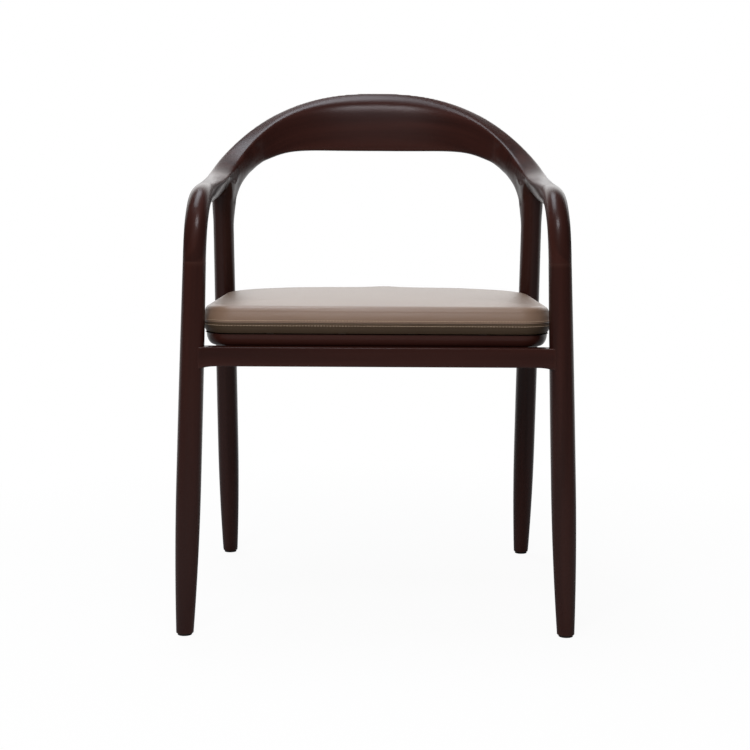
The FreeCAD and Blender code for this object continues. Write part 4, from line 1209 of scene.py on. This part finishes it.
# colour, metallic, roughness, scale of the clouds, how much lighter they are, nodes
fittings = {
    "plywood": ((0.42, 0.27, 0.13, 1), 0, 0.6, 60, 0.3, ["seat_board"]),
    "foam": ((0.70, 0.62, 0.35, 1), 0, 0.9, 400, 0.2, ["seat_foam"]),
    "dowelWood": ((0.55, 0.38, 0.20, 1), 0, 0.6, 120, 0.25,
                  ["crest_dowels", "arm_dowels", "leg_dowels", "bearer_dowels"]),
    "steel": ((0.50, 0.50, 0.52, 1), 1, 0.32, 500, 0.2,
              ["seat_staples", "board_screws", "seat_bolts", "seat_bolt_washers", "glide_nails"]),
    "brass": ((0.62, 0.42, 0.14, 1), 1, 0.3, 500, 0.2, ["seat_inserts"]),
    "glidePlastic": ((0.010, 0.010, 0.010, 1), 0, 0.5, 700, 0.5,
                     ["glide_front_left", "glide_front_right", "glide_rear_left", "glide_rear_right"]),
    "leatherHidden": ((0.205, 0.140, 0.094, 1), 0, 0.5, 300, 0.2, ["seat_cover_top", "seat_cover_border"]),
}


def dress(node, material):
    node.data.materials.clear()
    node.data.materials.append(material)


for name, (colour, metallic, roughness, scale, spread, members) in fittings.items():
    material = makePlain(name, colour, metallic, roughness, scale, spread)
    for member in members:
        dress(nodes[member], material)
for member in ("seat_bearer_left", "seat_bearer_right"):
    dress(nodes[member], woodAlongY)
plainWood = makeDarkWood("darkWoodUpright", False)
for member in ("crest_rail", "arm_left", "arm_right", "front_leg_left", "front_leg_right", "rear_leg_left",
               "rear_leg_right", "front_rail", "rear_rail", "seat_shell"):
    dress(nodes[member], plainWood)
print("fittings dressed")


# Floor, light and air

stage = {
    "floorGrey": 0.40, "floorSeen": 0.92, "lift": 0.94, "clear": (0.4, 1.1), "air": 0.28, "gloss": 0.03,
    "behind": 2.4, "wallSide": (0.50, 0.85), "wallRise": (0.04, 0.30), "floorShine": (0.3, 1.2),
}


def axisOf(tree, coordinates, axis):
    parts = addNode(tree, "ShaderNodeSeparateXYZ")
    tree.links.new(addNode(tree, "ShaderNodeTexCoord").outputs[coordinates], parts.inputs[0])
    return parts.outputs[axis]


def rangeOf(tree, source, fromEnds, toEnds, way="SMOOTHSTEP"):
    made = addNode(tree, "ShaderNodeMapRange", interpolation_type=way)
    tree.links.new(source, made.inputs["Value"])
    for label, value in zip(("From Min", "From Max", "To Min", "To Max"), fromEnds + toEnds):
        made.inputs[label].default_value = value
    return made.outputs[0]


def makeFloor():
    # pale paper: the camera sees its shadow fade to white away from the chair, and shiny wood sees it
    # lit behind the chair
    mesh = bpy.data.meshes.new("floor")
    mesh.from_pydata([(-9, -5, 0), (9, -5, 0), (9, 14, 0), (-9, 14, 0)], [], [(0, 1, 2, 3)])
    floor = bpy.data.objects.new("floor", mesh)
    scene.collection.objects.link(floor)
    material, tree, shader = newMaterial("floorPaper")
    shader.inputs["Roughness"].default_value = 0.9
    shader.inputs["Specular IOR Level"].default_value = 0.0
    paths = addNode(tree, "ShaderNodeLightPath")
    greys = [(stage[key],) * 3 + (1,) for key in ("floorGrey", "floorSeen")]
    tree.links.new(mixColours(tree, paths.outputs["Is Camera Ray"], *greys), shader.inputs["Base Color"])
    glow = addNode(tree, "ShaderNodeEmission")
    distance = addNode(tree, "ShaderNodeVectorMath", operation="LENGTH")
    tree.links.new(objectPlace(tree), distance.inputs[0])
    fade = rangeOf(tree, distance.outputs["Value"], stage["clear"], (stage["lift"], 1.0), "LINEAR")
    seen = addMath(tree, "MULTIPLY", fade, paths.outputs["Is Camera Ray"])
    behind = rangeOf(tree, axisOf(tree, "Object", "Y"), stage["floorShine"], (0, 1))
    shone = addMath(tree, "MULTIPLY", behind, paths.outputs["Is Glossy Ray"])
    share = addMath(tree, "MAXIMUM", seen, shone)
    mix = addNode(tree, "ShaderNodeMixShader")
    tree.links.new(share, mix.inputs[0])
    tree.links.new(shader.outputs[0], mix.inputs[1])
    tree.links.new(glow.outputs[0], mix.inputs[2])
    tree.links.new(mix.outputs[0], tree.nodes["Material Output"].inputs["Surface"])
    mesh.materials.append(material)


def makeAir():
    # white to the camera; to everything else a soft grey room
    world = bpy.data.worlds.new("room")
    scene.world = world
    world.use_nodes = True
    tree = world.node_tree
    shader = tree.nodes["Background"]
    shader.inputs["Color"].default_value = (1, 1, 1, 1)
    paths = addNode(tree, "ShaderNodeLightPath")
    side = rangeOf(tree, axisOf(tree, "Generated", "Y"), stage["wallSide"], (0, 1))
    rise = rangeOf(tree, axisOf(tree, "Generated", "Z"), stage["wallRise"], (0, stage["behind"]))
    wall = addMath(tree, "ADD", addMath(tree, "MULTIPLY", side, rise), stage["gloss"])
    glossy = addMath(tree, "MAXIMUM", paths.outputs["Is Glossy Ray"], paths.outputs["Is Transmission Ray"])
    change = addMath(tree, "SUBTRACT", wall, stage["air"])
    grey = addMath(tree, "ADD", addMath(tree, "MULTIPLY", glossy, change), stage["air"])
    white = addMath(tree, "MULTIPLY", paths.outputs["Is Camera Ray"], 1 - stage["air"])
    tree.links.new(addMath(tree, "ADD", grey, white), shader.inputs["Strength"])


lamps = {
    "overhead": {
        "place": (-0.4, 0.2, 2.4), "target": (0, 0.05, 0.5), "size": (1.4, 0.8), "power": 22,
        "colour": (0.86, 0.92, 1.0), "shine": True,
    },
    "frontSoft": {
        "place": (-0.7, -2.6, 1.7), "target": (0, 0, 0.45), "size": (1.3, 1.3), "power": 38,
        "colour": (1, 0.96, 0.93), "shine": False,
    },
    "frontHigh": {
        "place": (0, -0.9, 1.3), "target": (0, 0.1, 0.7), "size": (0.4, 0.3), "power": 4.0,
        "colour": (0.96, 0.95, 1.0), "shine": True,
    },
}


def addLamp(name, values):
    light = bpy.data.lights.new(name, "AREA")
    light.shape = "RECTANGLE"
    light.size, light.size_y = values["size"]
    light.energy = values["power"]
    light.color = values["colour"]
    holder = bpy.data.objects.new(name, light)
    scene.collection.objects.link(holder)
    holder.visible_glossy = values["shine"]
    holder.location = values["place"]
    aimLine = Vector(values["target"]) - Vector(values["place"])
    holder.rotation_euler = aimLine.to_track_quat("-Z", "Y").to_euler()


makeFloor()
makeAir()
for name, values in lamps.items():
    addLamp(name, values)
print("floor, air and lamps made")
